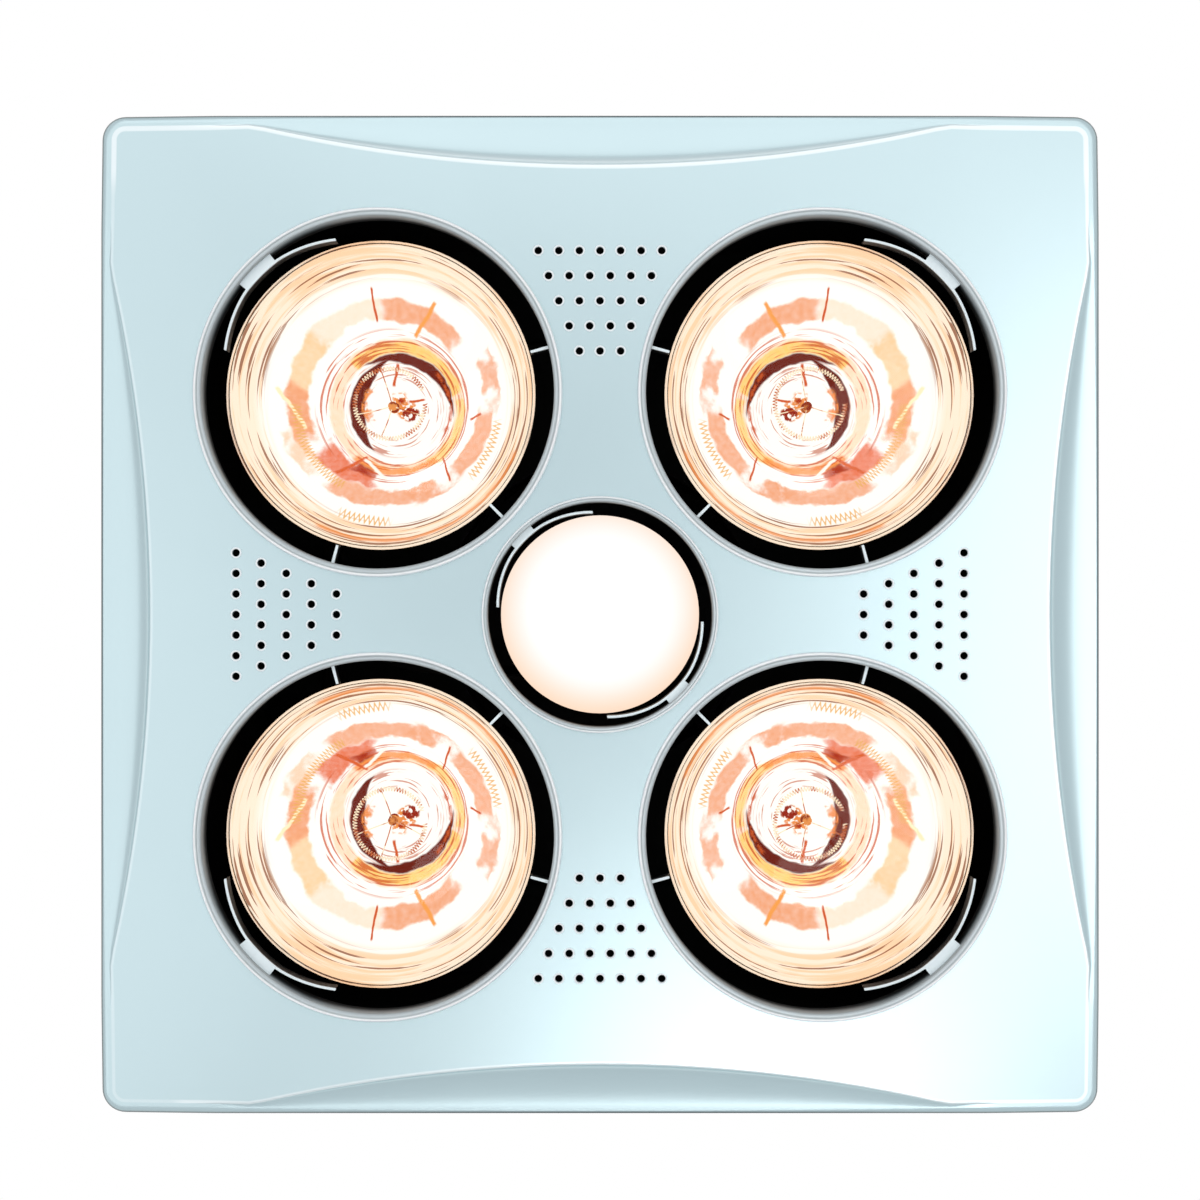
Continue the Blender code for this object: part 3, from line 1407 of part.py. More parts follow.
def main():
    clear_scene()
    fascia = make_fascia()
    make_hangers(fascia)
    make_case()
    make_clamps()
    make_lamps()
    make_holders()
    make_light_bracket()
    make_motor_bracket()
    make_motor()
    make_motor_bridge()
    make_rotor()
    make_spigot()
    make_flaps()
    make_terminal_box()
    make_gland()
    make_thermal_cutout()
    make_leads()


main()
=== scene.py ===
"""The looks of a bathroom ceiling heater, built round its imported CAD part.

Lengths are in metres and +Z is up. The fascia faces -Z, so the camera stands below it and looks up.
"""

import math

import bmesh
import bpy
from mathutils import Matrix, Vector


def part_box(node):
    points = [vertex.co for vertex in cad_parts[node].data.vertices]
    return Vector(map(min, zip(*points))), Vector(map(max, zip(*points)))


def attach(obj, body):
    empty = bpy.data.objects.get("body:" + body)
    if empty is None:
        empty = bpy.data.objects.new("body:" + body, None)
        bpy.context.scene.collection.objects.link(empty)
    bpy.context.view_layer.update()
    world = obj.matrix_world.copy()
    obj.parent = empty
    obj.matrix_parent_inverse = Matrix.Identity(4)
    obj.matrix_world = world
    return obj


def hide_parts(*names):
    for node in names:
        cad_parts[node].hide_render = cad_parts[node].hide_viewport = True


bl_info = {
    "name": "Bathroom ceiling heater",
    "version": (1, 0, 0),
    "blender": (4, 5, 0),
    "location": "3D View > Sidebar > Heater",
    "description": "Builds the fascia, lamps, case and fan of a bathroom ceiling heater",
    "category": "Object",
}

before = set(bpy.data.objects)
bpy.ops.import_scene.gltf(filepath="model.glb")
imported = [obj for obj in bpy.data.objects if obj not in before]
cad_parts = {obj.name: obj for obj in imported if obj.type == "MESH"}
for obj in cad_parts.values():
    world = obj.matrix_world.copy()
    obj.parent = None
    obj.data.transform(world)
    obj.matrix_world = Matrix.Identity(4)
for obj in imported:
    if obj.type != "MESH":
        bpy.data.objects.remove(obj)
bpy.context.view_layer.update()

# Places read from the frame
LAMP_NUMBERS = (1, 2, 3, 4)
FASCIA_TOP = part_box("fascia_panel")[1].z
GLASS_LOW, GLASS_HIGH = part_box("heat_lamp_1_glass")
GLASS_RADIUS = (GLASS_HIGH.x - GLASS_LOW.x) / 2
LIGHT_LOW, LIGHT_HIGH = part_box("light_lamp_glass")
LIGHT_RADIUS = (LIGHT_HIGH.x - LIGHT_LOW.x) / 2
CASE_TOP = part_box("case_box")[1].z
SPIGOT_LOW, SPIGOT_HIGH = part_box("duct_spigot")

# Sizes of the part that no node's box gives
CASE_HALF = 0.168
SPIGOT_RADIUS = 0.074
SPIGOT_FLANGE = 0.0017
DUCT_BORE = 0.072

# Clearances: between a piece and what it stands in, and between two skins of one piece
GAP = 0.0003
HAIR = 0.00005


def axis_of(node):
    """The middle of a turned node, on its axis."""
    low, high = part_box(node)
    return Vector(((low.x + high.x) / 2, (low.y + high.y) / 2, 0))


LAMP_AXES = {n: axis_of(f"heat_lamp_{n}_cap") for n in LAMP_NUMBERS}


def length(name, default, description):
    return bpy.props.FloatProperty(name=name, description=description, default=default, min=0, unit="LENGTH")


def colour(name, default, description):
    return bpy.props.FloatVectorProperty(
        name=name, description=description, default=default, size=3, min=0, max=1, subtype="COLOR"
    )


class FasciaSizes(bpy.types.PropertyGroup):
    """The square moulding that faces the room."""

    width: length("Width", 0.400, "Across the fascia at its middle")
    depth: length("Depth", 0.022, "From the ceiling to the flat plateau")
    wall: length("Wall", 0.0025, "Thickness of the moulding")
    bow: length("Bow", 0.0014, "How far each side bows out at its middle")
    corner_radius: length("Corner radius", 0.0095, "Radius of the four corners, seen from below")
    edge_rounding: length("Edge rounding", 0.0028, "Rounding of the rim at the corners")
    lip_rounding: length("Lip rounding", 0.0012, "Rounding of the rim beside a scoop")
    scoop_radius: length("Scoop radius", 0.611, "Radius of the arc where a scoop leaves the plateau")
    scoop_width: length("Scoop width", 0.0205, "From the rim to the arc at the middle of a side")
    scoop_depth: length("Scoop depth", 0.007, "How far a scoop's lip lies above the plateau")
    scoop_edge: length("Scoop edge", 0.0007, "Rounding of the plateau's edge along a scoop")
    ring_back: length("Throat end", 0.006, "From the ceiling down to the throats' upper ends")
    bead_height: length("Bead height", 0.002, "How far each bead stands off the plateau")
    heat_throat: length("Heat throat", 0.0703, "Radius of a heat lamp's throat")
    heat_wall: length("Heat throat wall", 0.002, "Wall of a heat lamp's throat")
    heat_bead: length("Heat bead", 0.0034, "Width of the bead round a heat lamp")
    light_throat: length("Light throat", 0.045, "Radius of the light's throat")
    light_wall: length("Light throat wall", 0.0018, "Wall of the light's throat")
    light_bead: length("Light bead", 0.0023, "Width of the bead round the light")
    rib: length("Rib", 0.0013, "Thickness of the ribs between a throat and its lamp")
    finger: length("Finger", 0.0010, "Thickness of the spring fingers")
    front: length("Rib front", 0.003, "From the plateau up to the ribs and fingers")
    lamp_gap: length("Lamp gap", 0.0005, "From a rib's end to the lamp")
    heat_root: length("Heat finger root", 0.0042, "From a heat throat's wall to its fingers' middle")
    light_root: length("Light finger root", 0.0029, "From the light throat's wall to its fingers' middle")
    hanger_place: length("Hanger place", 0.160, "From the middle to the bars that the hanger springs hook on")
    hanger_bar: length("Hanger bar", 0.0052, "Diameter of a hanger bar")
    hanger_stand: length("Hanger stand", 0.0060, "From the fascia's back up to a hanger bar's middle")
    hanger_lug: length("Hanger lug", 0.002, "Thickness of the lugs that hold a hanger bar")


class VentSizes(bpy.types.PropertyGroup):
    """The four groups of small holes."""

    first_row: length("First row", 0.105, "From the middle to the row nearest to it")
    row_pitch: length("Row pitch", 0.010, "From one row to the next")
    pitch: length("Pitch", 0.0082, "From one hole to the next in a row")
    bore: length("Bore", 0.0030, "Diameter of a hole")
    rim: length("Rim", 0.0046, "Diameter of the raised rim round a hole")
    rim_height: length("Rim height", 0.0004, "How far a rim stands off the plateau")
    rows: bpy.props.IntProperty(name="Rows", description="Rows in each group", default=5, min=1)
    first_count: bpy.props.IntProperty(name="Holes", description="Holes in the first row", default=3, min=1)


class Colours(bpy.types.PropertyGroup):
    """The colours that a repaint would change."""

    fascia: colour("Fascia", (0.62, 0.77, 0.80), "Satin silver-blue plastic")
    # The beads' colour is scaled into their painted highlight and painted shade, and into the ribs' painted highlight
    bead: colour("Beads and rims", (0.84, 0.92, 0.94), "Bright raised edges")
    # Painted shade: near black for the insides of the lamp openings and the depths of the ribs and fingers
    throat: colour("Throats", (0.006, 0.008, 0.009), "Shadowed inside of the lamp openings")
    zinc: colour("Zinc", (0.50, 0.52, 0.54), "Galvanised sheet")
    glow: colour("Glow", (1.0, 0.985, 0.95), "White-hot parts of the heat lamps")


class Wire:
    """One number, colour or vector in a node tree. Arithmetic on it adds Math nodes."""

    def __init__(self, nodes, socket):
        self.nodes = nodes
        self.socket = socket

    def math(self, operation, *others):
        inputs = dict(enumerate((self, *others)))
        return self.nodes.node("ShaderNodeMath", {"operation": operation}, inputs)[0]

    def __add__(self, other):
        return self.math("ADD", other)

    __radd__ = __add__

    def __mul__(self, other):
        return self.math("MULTIPLY", other)

    __rmul__ = __mul__

    def __sub__(self, other):
        return self.math("SUBTRACT", other)

    def __rsub__(self, other):
        return self * -1 + other

    def __truediv__(self, other):
        return self.math("DIVIDE", other)

    def __pow__(self, other):
        return self.math("POWER", other)

    def __abs__(self):
        return self.math("ABSOLUTE")

    def over(self, low, high):
        """A smooth step from 0 at low to 1 at high, or falling where high is the smaller."""
        inputs = {"Value": self, "From Min": low, "From Max": high}
        return self.nodes.node("ShaderNodeMapRange", {"interpolation_type": "SMOOTHSTEP"}, inputs)[0]

    def past(self, place, edges):
        """A smooth step between two distances from a place."""
        return self.over(place + edges[0], place + edges[1])

    def band(self, low, high, soft):
        """1 between low and high, fading over a soft stretch on both sides."""
        return self.over(low - soft, low + soft) * self.over(high + soft, high - soft)


class Nodes:
    """A node tree, with short ways to make and link its nodes."""

    def __init__(self, tree):
        self.tree = tree

    def feed(self, socket, value):
        if isinstance(value, Wire):
            self.tree.links.new(value.socket, socket)
        elif socket.type == "RGBA":
            socket.default_value = (*value[:3], 1)
        else:
            socket.default_value = value

    def node(self, kind, settings, inputs):
        """Adds a node, with its settings first, then its inputs, and returns its outputs as wires."""
        made = self.tree.nodes.new(kind)
        for key, value in settings.items():
            if key == "stops":
                self.stops(made.color_ramp, value)
            else:
                setattr(made, key, value)
        for key, value in inputs.items():
            self.feed(made.inputs[key], value)
        return [Wire(self, socket) for socket in made.outputs if socket.enabled]

    def stops(self, ramp, stops):
        while len(ramp.elements) < len(stops):
            ramp.elements.new(0)
        for element, (place, tint) in zip(ramp.elements, stops):
            element.position = place
            element.color = (*tint, 1)

    def place(self):
        """Object coordinates."""
        return self.node("ShaderNodeTexCoord", {}, {})[3]

    def axes(self):
        return self.node("ShaderNodeSeparateXYZ", {}, {0: self.place()})

    def vector(self, x, y, z):
        return self.node("ShaderNodeCombineXYZ", {}, {0: x, 1: y, 2: z})[0]

    def noise(self, scale, detail=3.0, vector=None):
        inputs = {"Vector": vector or self.place(), "Scale": scale, "Detail": detail}
        return self.node("ShaderNodeTexNoise", {}, inputs)[0]

    def mix(self, factor, first, second):
        return self.node("ShaderNodeMix", {"data_type": "RGBA"}, {0: factor, 6: first, 7: second})[0]


class Paint(Nodes):
    """A material with a Principled shader."""

    def __init__(self, name, **fixed):
        self.material = bpy.data.materials.new(name)
        self.material.use_nodes = True
        super().__init__(self.material.node_tree)
        self.shader = self.tree.nodes["Principled BSDF"]
        for socket, value in fixed.items():
            self.set(socket.replace("_", " ").title().replace("Ior", "IOR"), value)

    def set(self, socket, value):
        self.feed(self.shader.inputs[socket], value)

    def bump(self, height, strength, distance):
        inputs = {"Height": height, "Strength": strength, "Distance": distance}
        self.set("Normal", self.node("ShaderNodeBump", {}, inputs)[0])


def shade(base, factor):
    """A colour made lighter or darker by a factor, kept within the shader's range."""
    return tuple(min(1.0, channel * factor) for channel in base)


# The fascia's lacquer: noise scales, the flake's strength and depth as a bump, and how rough it is at least
CLOUD_SCALE = 14
FLAKE_SCALE = 2600
FLAKE_BUMP = (0.06, 0.00005)
LACQUER_ROUGHNESS = 0.21
# The front's marks run from 0 to this on a scoop's steep side, where they paint a highlight, from here to 1 on its
# crest, a painted highlight line, and below 0 at the rim, a painted shade line
STEEP_MARK = 0.45
CREST_HIGHLIGHT = (0.90, 0.97, 0.98)
CREST_HIGHLIGHT_STRENGTH = 0.85
CREST_HIGHLIGHT_FAINT = 0.35
RIM_SHADE_SHARE = 0.16
# The steep side's painted highlight is bright towards the top edge, where the light falls on it, and the crest's
# painted highlight is faint at the left one
HIGHLIGHT_TOP_EDGE = (-0.165, -0.178)
HIGHLIGHT_LEFT_EDGE = (-0.172, -0.165)


def lacquer(name, base):
    """Moulded plastic under a satin silver lacquer, very even, with a fine flake; gives its paint and its tone."""
    paint = Paint(name, metallic=0.45)
    cloud = paint.noise(CLOUD_SCALE)
    flake = paint.noise(FLAKE_SCALE, 2)
    paint.set("Roughness", cloud * 0.03 + flake * 0.05 + LACQUER_ROUGHNESS)
    paint.bump(flake, *FLAKE_BUMP)
    return paint, paint.mix(cloud.over(0.3, 0.7), shade(base, 0.992), shade(base, 1.008))


def silver_plastic(name, base):
    """The plain lacquer."""
    paint, tone = lacquer(name, base)
    paint.set("Base Color", tone)
    return paint.material


def fascia_plastic(name, base):
    """The lacquer, with painted shade round the outer edge and a painted highlight along the crests, where the
    sections mark it.
    """
    paint, tone = lacquer(name, base)
    mark = paint.node("ShaderNodeAttribute", {"attribute_name": "mark"}, {})[2]
    x, y, _ = paint.axes()
    # Painted highlight on a scoop's steep side, stronger towards the top edge where the light falls
    steep_highlight = mark.over(0, STEEP_MARK) * y.over(*HIGHLIGHT_TOP_EDGE) * CREST_HIGHLIGHT_STRENGTH
    # Painted highlight along the crests, fainter at the left edge
    crest = mark.over(STEEP_MARK, 1) * (x.over(*HIGHLIGHT_LEFT_EDGE) * (CREST_HIGHLIGHT_STRENGTH - CREST_HIGHLIGHT_FAINT) + CREST_HIGHLIGHT_FAINT)
    tone = paint.mix(crest, paint.mix(steep_highlight, tone, CREST_HIGHLIGHT), CREST_HIGHLIGHT)
    # Painted shade: a dark line round the rim
    paint.set("Base Color", paint.mix(mark.over(0, -1), tone, shade(base, RIM_SHADE_SHARE)))
    return paint.material


# Across a bead from the throat outwards: place as a share of its width, and how bright it is there, as painted shade
# on the shoulder and a painted highlight on the ridge
BEAD_HIGHLIGHT_AND_SHADE = (
    (0.0, 0.42), (0.05, 0.46), (0.12, 0.52), (0.20, 0.58), (0.30, 0.66), (0.42, 0.64), (0.53, 0.62), (0.62, 0.90),
    (0.70, 1.3), (0.88, 1.3), (1.0, 0.80),
)
# Where a throat's wall falls into painted shade, up from the plateau, and how bright its foot is
THROAT_SHADE_FADE = (0.013, 0.0)
THROAT_SHADE_FOOT = 0.50
# The same painted shade for the ribs and fingers, up from their front edges, and their fronts' painted highlight
RIB_SHADE_FADE = (0.0001, 0.0022)
RIB_FRONT_HIGHLIGHT = 1.06


def bead_plastic(name, base, dark, offset, throat, bead, plateau):
    """A painted highlight on the ridge and painted shade on the shoulder round an opening, and painted shade that
    darkens up the throat.
    """
    paint = Paint(name)
    x, y, height = paint.axes()
    a, b = abs(x) - offset, abs(y) - offset
    share = ((a * a + b * b) ** 0.5 - throat) / bead
    stops = []
    for place, factor in BEAD_HIGHLIGHT_AND_SHADE:
        stops.append((place, tuple(max(pair) for pair in zip(dark, shade(base, factor)))))
    tone = paint.node("ShaderNodeValToRGB", {"stops": stops}, {0: share})[0]
    # Painted shade up the throat's wall, darker with depth
    wall = paint.mix(height.past(plateau, THROAT_SHADE_FADE), dark, shade(base, THROAT_SHADE_FOOT))
    paint.set("Base Color", paint.mix(share.over(0.03, 0.005), tone, wall))
    paint.set("Roughness", paint.noise(CLOUD_SCALE) * 0.06 + share.over(0.3, 0.0) * 0.5 + 0.30)
    paint.set("Metallic", share.over(0.0, 0.4) * share.over(0.75, 0.5) * 0.4)
    paint.bump(paint.noise(FLAKE_SCALE, 2), *FLAKE_BUMP)
    return paint.material


def rib_plastic(name, base, dark, front):
    """The ribs' and fingers' front edges with a painted highlight, which fall into painted shade within a few
    millimetres.
    """
    paint = Paint(name, roughness=0.5, specular_ior_level=0.1)
    _, _, height = paint.axes()
    paint.set("Base Color", paint.mix(height.past(front, RIB_SHADE_FADE), shade(base, RIB_FRONT_HIGHLIGHT), dark))
    paint.bump(paint.noise(FLAKE_SCALE, 2), *FLAKE_BUMP)
    return paint.material


MERGE_DISTANCE = 1e-7


def finish_piece(name, bm, body, materials, stands_for=(), sharp=34):
    """Makes an object of a bmesh that is already in place, and lets it ride on its CAD body."""
    bmesh.ops.recalc_face_normals(bm, faces=bm.faces)
    mesh = bpy.data.meshes.new(name)
    bm.to_mesh(mesh)
    bm.free()
    mesh.shade_smooth()
    mesh.set_sharp_from_angle(angle=math.radians(sharp))
    for material in materials:
        mesh.materials.append(material)
    piece = bpy.data.objects.new(name, mesh)
    bpy.context.scene.collection.objects.link(piece)
    if stands_for:
        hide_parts(*stands_for)
    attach(piece, body)


def chain(bm, points, closed=False):
    """A run of vertices joined by edges."""
    verts = [bm.verts.new(point) for point in points]
    ends = list(zip(verts, verts[1:]))
    if closed:
        ends.append((verts[-1], verts[0]))
    return verts, [bm.edges.new(pair) for pair in ends]


def turned(bm, profile, steps, matrix=Matrix(), closed=False, material=0):
    """Spins (radius, height) points once round +Z, then places the shape by the matrix."""
    before = set(bm.faces)
    verts, edges = chain(bm, [(radius, 0, height) for radius, height in profile], closed)
    bmesh.ops.spin(
        bm, geom=verts + edges, cent=(0, 0, 0), axis=(0, 0, 1), angle=math.tau, steps=steps, use_merge=True
    )
    faces = [face for face in bm.faces if face not in before]
    verts = list(dict.fromkeys(vert for face in faces for vert in face.verts))
    bmesh.ops.remove_doubles(bm, verts=verts, dist=MERGE_DISTANCE)
    faces = [face for face in bm.faces if face not in before]
    for face in faces:
        face.material_index = material
    verts = list(dict.fromkeys(vert for face in faces for vert in face.verts))
    bmesh.ops.transform(bm, matrix=matrix, verts=verts)
    return faces


def extruded(bm, outline, low, high, matrix=Matrix()):
    """A closed outline in X and Y made solid from one height to another."""
    verts, _ = chain(bm, [(x, y, low) for x, y in outline], closed=True)
    face = bm.faces.new(verts)
    grown = bmesh.ops.extrude_face_region(bm, geom=[face], use_keep_orig=True)["geom"]
    top = [item for item in grown if isinstance(item, bmesh.types.BMVert)]
    bmesh.ops.translate(bm, verts=top, vec=(0, 0, high - low))
    bmesh.ops.transform(bm, matrix=matrix, verts=verts + top)


def add_wire(bm, points, radius):
    """A thin wire along points, from a bevelled curve."""
    curve = bpy.data.curves.new("run", "CURVE")
    curve.dimensions = "3D"
    curve.bevel_depth = radius
    curve.bevel_resolution = 0
    curve.use_fill_caps = True
    spline = curve.splines.new("POLY")
    spline.points.add(len(points) - 1)
    spline.points.foreach_set("co", [value for point in points for value in (*point, 1)])
    holder = bpy.data.objects.new("run", curve)
    bm.from_mesh(holder.to_mesh())
    holder.to_mesh_clear()
    bpy.data.objects.remove(holder)
    bpy.data.curves.remove(curve)


def shape_of(bm):
    """A mesh to repeat, from a bmesh that isn't needed again."""
    shape = bpy.data.meshes.new("shape")
    bm.to_mesh(shape)
    bm.free()
    return shape


def repeated(shape, matrices):
    """Copies of one shape, each placed by its matrix."""
    bm = bmesh.new()
    for matrix in matrices:
        placed = shape.copy()
        placed.transform(matrix)
        bm.from_mesh(placed)
        bpy.data.meshes.remove(placed)
    return bm


# Bevels: width, segments, and the angle from which an edge is bevelled
RIB_BEVEL = (0.00025, 2, 50)
HEAD_BEVEL = (0.0002, 2, 40)
SEAM_BEVEL = (0.0002, 1, 50)
SEAT_BEVEL = (0.0001, 1, 50)
GLAND_BEVEL = (0.00015, 1, 50)
LUG_BEVEL = (0.0003, 2, 50)


def soften(bm, width, segments, limit):
    """Bevels the edges whose faces meet at more than the limit."""
    edges = [e for e in bm.edges if e.is_manifold and e.calc_face_angle(0) > math.radians(limit)]
    bmesh.ops.bevel(
        bm, geom=edges, offset=width, segments=segments, profile=0.5, affect="EDGES", material=-1, clamp_overlap=True
    )


def turn_about_z(degrees):
    return Matrix.Rotation(math.radians(degrees), 4, "Z")


def bends(steps):
    """Sine and cosine at each step of a quarter turn, from the first step to the last."""
    angles = [math.radians(90 * k / steps) for k in range(1, steps + 1)]
    return [(math.sin(angle), math.cos(angle)) for angle in angles]


def smooth_run(points, between):
    """A smooth curve through points of any dimension."""
    points = [Vector(point) for point in points]
    ends = [points[0] * 2 - points[1]] + points + [points[-1] * 2 - points[-2]]
    curve = []
    for before, start, end, after in zip(ends, ends[1:], ends[2:], ends[3:]):
        for k in range(between):
            t = k / between
            bent = (end - before) * t + (before * 2 - start * 5 + end * 4 - after) * t**2
            bent += (start * 3 - before - end * 3 + after) * t**3
            curve.append(start + bent / 2)
    return curve + [points[-1]]


SIDE_STEPS = 64
CORNER_STEPS = 10
ROUNDING_STEPS = 6
COVE_STEPS = 12
EDGE_STEPS = 4
# Two rows of the plateau beside the front's edge, which keep its shading flat
PLATEAU_ROWS = (0.0005, 0.0014)


def fascia_outline(sizes):
    """The fascia's edge as (point, inward direction, scoop width there)."""
    half = sizes.width / 2
    straight = half - sizes.bow - sizes.corner_radius
    arc_centre = half - sizes.scoop_width + sizes.scoop_radius
    side = []
    for k in range(SIDE_STEPS + 1):
        y = straight * math.sin(math.pi * (k / SIDE_STEPS - 0.5))
        x = half - sizes.bow * (y / straight) ** 2
        arc = arc_centre - math.sqrt(sizes.scoop_radius**2 - y**2)
        side.append((Vector((x, y, 0)), Vector((-1, 0, 0)), max(0.0, x - arc)))
    for sine, cosine in bends(CORNER_STEPS)[:-1]:
        inward = Vector((-cosine, -sine, 0))
        side.append((Vector((straight, straight, 0)) - inward * sizes.corner_radius, inward, 0.0))
    quarters = [turn_about_z(90 * k) for k in range(4)]
    return [(turn @ point, turn @ inward, scoop) for turn in quarters for point, inward, scoop in side]


def fascia_section(sizes, scoop):
    """(inset, height) points from the back edge round the front, up to the plateau."""
    plateau = -sizes.depth
    share = scoop / sizes.scoop_width
    drop = sizes.scoop_depth * share
    lip = plateau + drop
    rounding = sizes.edge_rounding + (sizes.lip_rounding - sizes.edge_rounding) * share
    edge, fall = sizes.scoop_edge, max(0.0, drop - sizes.scoop_edge)
    rim = max(scoop, rounding + 2 * sizes.scoop_edge)
    section = [(0, FASCIA_TOP), (0, lip + rounding)]
    for sine, cosine in bends(ROUNDING_STEPS):
        section.append((rounding * (1 - cosine), lip + rounding * (1 - sine)))
    for sine, cosine in bends(COVE_STEPS):
        section.append((rounding + (rim - rounding) * sine, lip - fall * (1 - cosine)))
    for sine, cosine in bends(EDGE_STEPS):
        section.append((rim + edge * (1 - cosine), plateau + min(edge, drop) * (1 - sine)))
    return section + [(rim + edge + run, plateau) for run in PLATEAU_ROWS]


# How far in the painted shade line round the rim reaches
RIM_SHADE = 0.0012
# Marks of the last rows of a front section, from a scoop's steep side over its crest to the plateau, which set its
# painted highlight
CREST_MARKS = (0.15, 0.25, 0.36, 0.45, 0.45, 0.6, 0.85, 1.0, 1.0, 0.9, 0.0)


def painted_light_mark(row, rows, inset):
    """A mark for the material: from -1 at the rim, painted shade, to 0 a little further in, and above 0 near the
    crest, painted highlight.
    """
    if row >= rows - len(CREST_MARKS):
        return CREST_MARKS[row - rows]
    return -max(0.0, 1 - (inset / RIM_SHADE) ** 2)


def fascia_back(sizes, scoop):
    """(inset, height) points from the back edge along the inside of the moulding."""
    share = scoop / sizes.scoop_width
    drop = sizes.scoop_depth * share
    back = -sizes.depth + sizes.wall
    rim = max(scoop, sizes.edge_rounding)
    section = [(sizes.wall, FASCIA_TOP), (sizes.wall, back + drop + sizes.wall / 2)]
    section.append((1.5 * sizes.wall, back + drop))
    run = max(0.0, rim - sizes.wall)
    for sine, cosine in bends(EDGE_STEPS + 1)[:-1]:
        section.append((1.5 * sizes.wall + run * sine, back + drop * cosine))
    return section + [(rim + 1.2 * sizes.wall, back)]


def rows_of(bm, outline, sections, start, mark=None):
    """Extrudes a loop of edges row by row along each point's own section, and marks the rows for the material's
    painted rim shade and crest highlight.
    """
    loop_verts, loop_edges = start
    layer = bm.verts.layers.float["mark"]
    rows = len(sections[0])
    for row in range(1, rows):
        grown = bmesh.ops.extrude_edge_only(bm, edges=loop_edges)["geom"]
        verts = [item for item in grown if isinstance(item, bmesh.types.BMVert)]
        edges = [item for item in grown if isinstance(item, bmesh.types.BMEdge)]
        fresh = set(verts)
        by_old = {}
        for vert in verts:
            for edge in vert.link_edges:
                other = edge.other_vert(vert)
                if other not in fresh:
                    by_old[other] = vert
        loop_verts = [by_old[vert] for vert in loop_verts]
        loop_edges = [edge for edge in edges if edge.verts[0] in fresh and edge.verts[1] in fresh]
        for vert, (point, inward, _), section in zip(loop_verts, outline, sections):
            inset, height = section[row]
            vert.co = point + inward * inset + Vector((0, 0, height))
            vert[layer] = mark(row, rows, inset) if mark else 0.0
    return loop_verts, loop_edges


def lamp_openings(sizes):
    """(matrix, throat radius, wall, bead width) of each opening; +X of the matrix looks to the middle."""
    openings = []
    for axis in LAMP_AXES.values():
        inwards = math.degrees(math.atan2(-axis.y, -axis.x))
        matrix = Matrix.Translation(axis) @ turn_about_z(inwards)
        openings.append((matrix, sizes.heat_throat, sizes.heat_wall, sizes.heat_bead))
    openings.append((turn_about_z(45), sizes.light_throat, sizes.light_wall, sizes.light_bead))
    return openings


def vent_places(vents):
    places = []
    for side in range(4):
        for row in range(vents.rows):
            count = vents.first_count + row
            for k in range(count):
                across = (k - (count - 1) / 2) * vents.pitch
                out = vents.first_row + row * vents.row_pitch
                places.append(turn_about_z(90 * side) @ Vector((out, across, 0)))
    return places


def circle_edges(bm, centre, radius, height, steps):
    matrix = Matrix.Translation((centre.x, centre.y, height))
    made = bmesh.ops.create_circle(bm, cap_ends=False, radius=radius, segments=steps, matrix=matrix)["verts"]
    return list(dict.fromkeys(edge for vert in made for edge in vert.link_edges))


RING_STEPS = 128
VENT_STEPS = 16
# The vents' rims are whiter than the fascia's plastic as a painted highlight
VENT_RIM_HIGHLIGHT = (0.93, 0.97, 0.98)
# Where the ribs stand, in degrees from the way to the heater's middle
RIB_TURNS = (-60, 0, 60)
# Spring fingers: steps along an arm, and half angles of the root and of the arms
FINGER_STEPS = 16
FINGER_ROOT = 7
HEAT_FINGER_REACH = 29.5
LIGHT_FINGER_REACH = 41
LIGHT_FINGER_TURNS = (45, 225)
# The share of an arm that follows the throat, and the power of the curve by which the rest draws in
FINGER_PLAIN = 0.25
FINGER_CURVE = 1.25
# From the throats' upper ends down to the ribs' and fingers'
RIB_STEP = 0.001
# A bead's section from the throat outwards, as shares of its width and of its height
BEAD_SHARES = (
    (0.01, 0.22), (0.05, 0.40), (0.12, 0.50), (0.22, 0.50), (0.36, 0.44), (0.48, 0.46), (0.56, 0.62), (0.63, 0.86),
    (0.71, 0.98), (0.79, 1.0), (0.87, 0.88), (0.94, 0.58), (1.0, 0.04),
)


class HEATER_OT_fascia(bpy.types.Operator):
    """Build the fascia moulding with its scoops, lamp openings and vent holes"""

    bl_idname = "heater.fascia"
    bl_label = "Fascia"

    def execute(self, context):
        sizes, vents, colours = context.scene.fascia_sizes, context.scene.vent_sizes, context.scene.heater_colours
        bm = bmesh.new()
        bm.verts.layers.float.new("mark")
        outline = fascia_outline(sizes)
        start = chain(bm, [point + Vector((0, 0, FASCIA_TOP)) for point, _, _ in outline], closed=True)
        fronts = [fascia_section(sizes, scoop) for _, _, scoop in outline]
        backs = [[(0, FASCIA_TOP)] + fascia_back(sizes, scoop) for _, _, scoop in outline]
        holes = []
        for matrix, throat, wall, _ in lamp_openings(sizes):
            holes += circle_edges(bm, matrix.translation, throat + wall / 2, -sizes.depth, RING_STEPS)
        for point in vent_places(vents):
            holes += circle_edges(bm, point, vents.bore / 2, -sizes.depth, VENT_STEPS)
        _, edges = rows_of(bm, outline, fronts, start, painted_light_mark)
        bmesh.ops.triangle_fill(bm, edges=edges + holes, use_beauty=True, use_dissolve=False)
        grown = bmesh.ops.extrude_edge_only(bm, edges=holes)["geom"]
        raised = [item for item in grown if isinstance(item, bmesh.types.BMVert)]
        bmesh.ops.translate(bm, verts=raised, vec=(0, 0, sizes.wall))
        rims = [item for item in grown if isinstance(item, bmesh.types.BMEdge) and set(item.verts) <= set(raised)]
        _, edges = rows_of(bm, outline, backs, start)
        bmesh.ops.triangle_fill(bm, edges=edges + rims, use_beauty=True, use_dissolve=False)
        plastic = fascia_plastic("fascia_plastic", tuple(colours.fascia))
        finish_piece("fascia", bm, "fascia", [plastic], ["fascia_panel"])
        return {"FINISHED"}


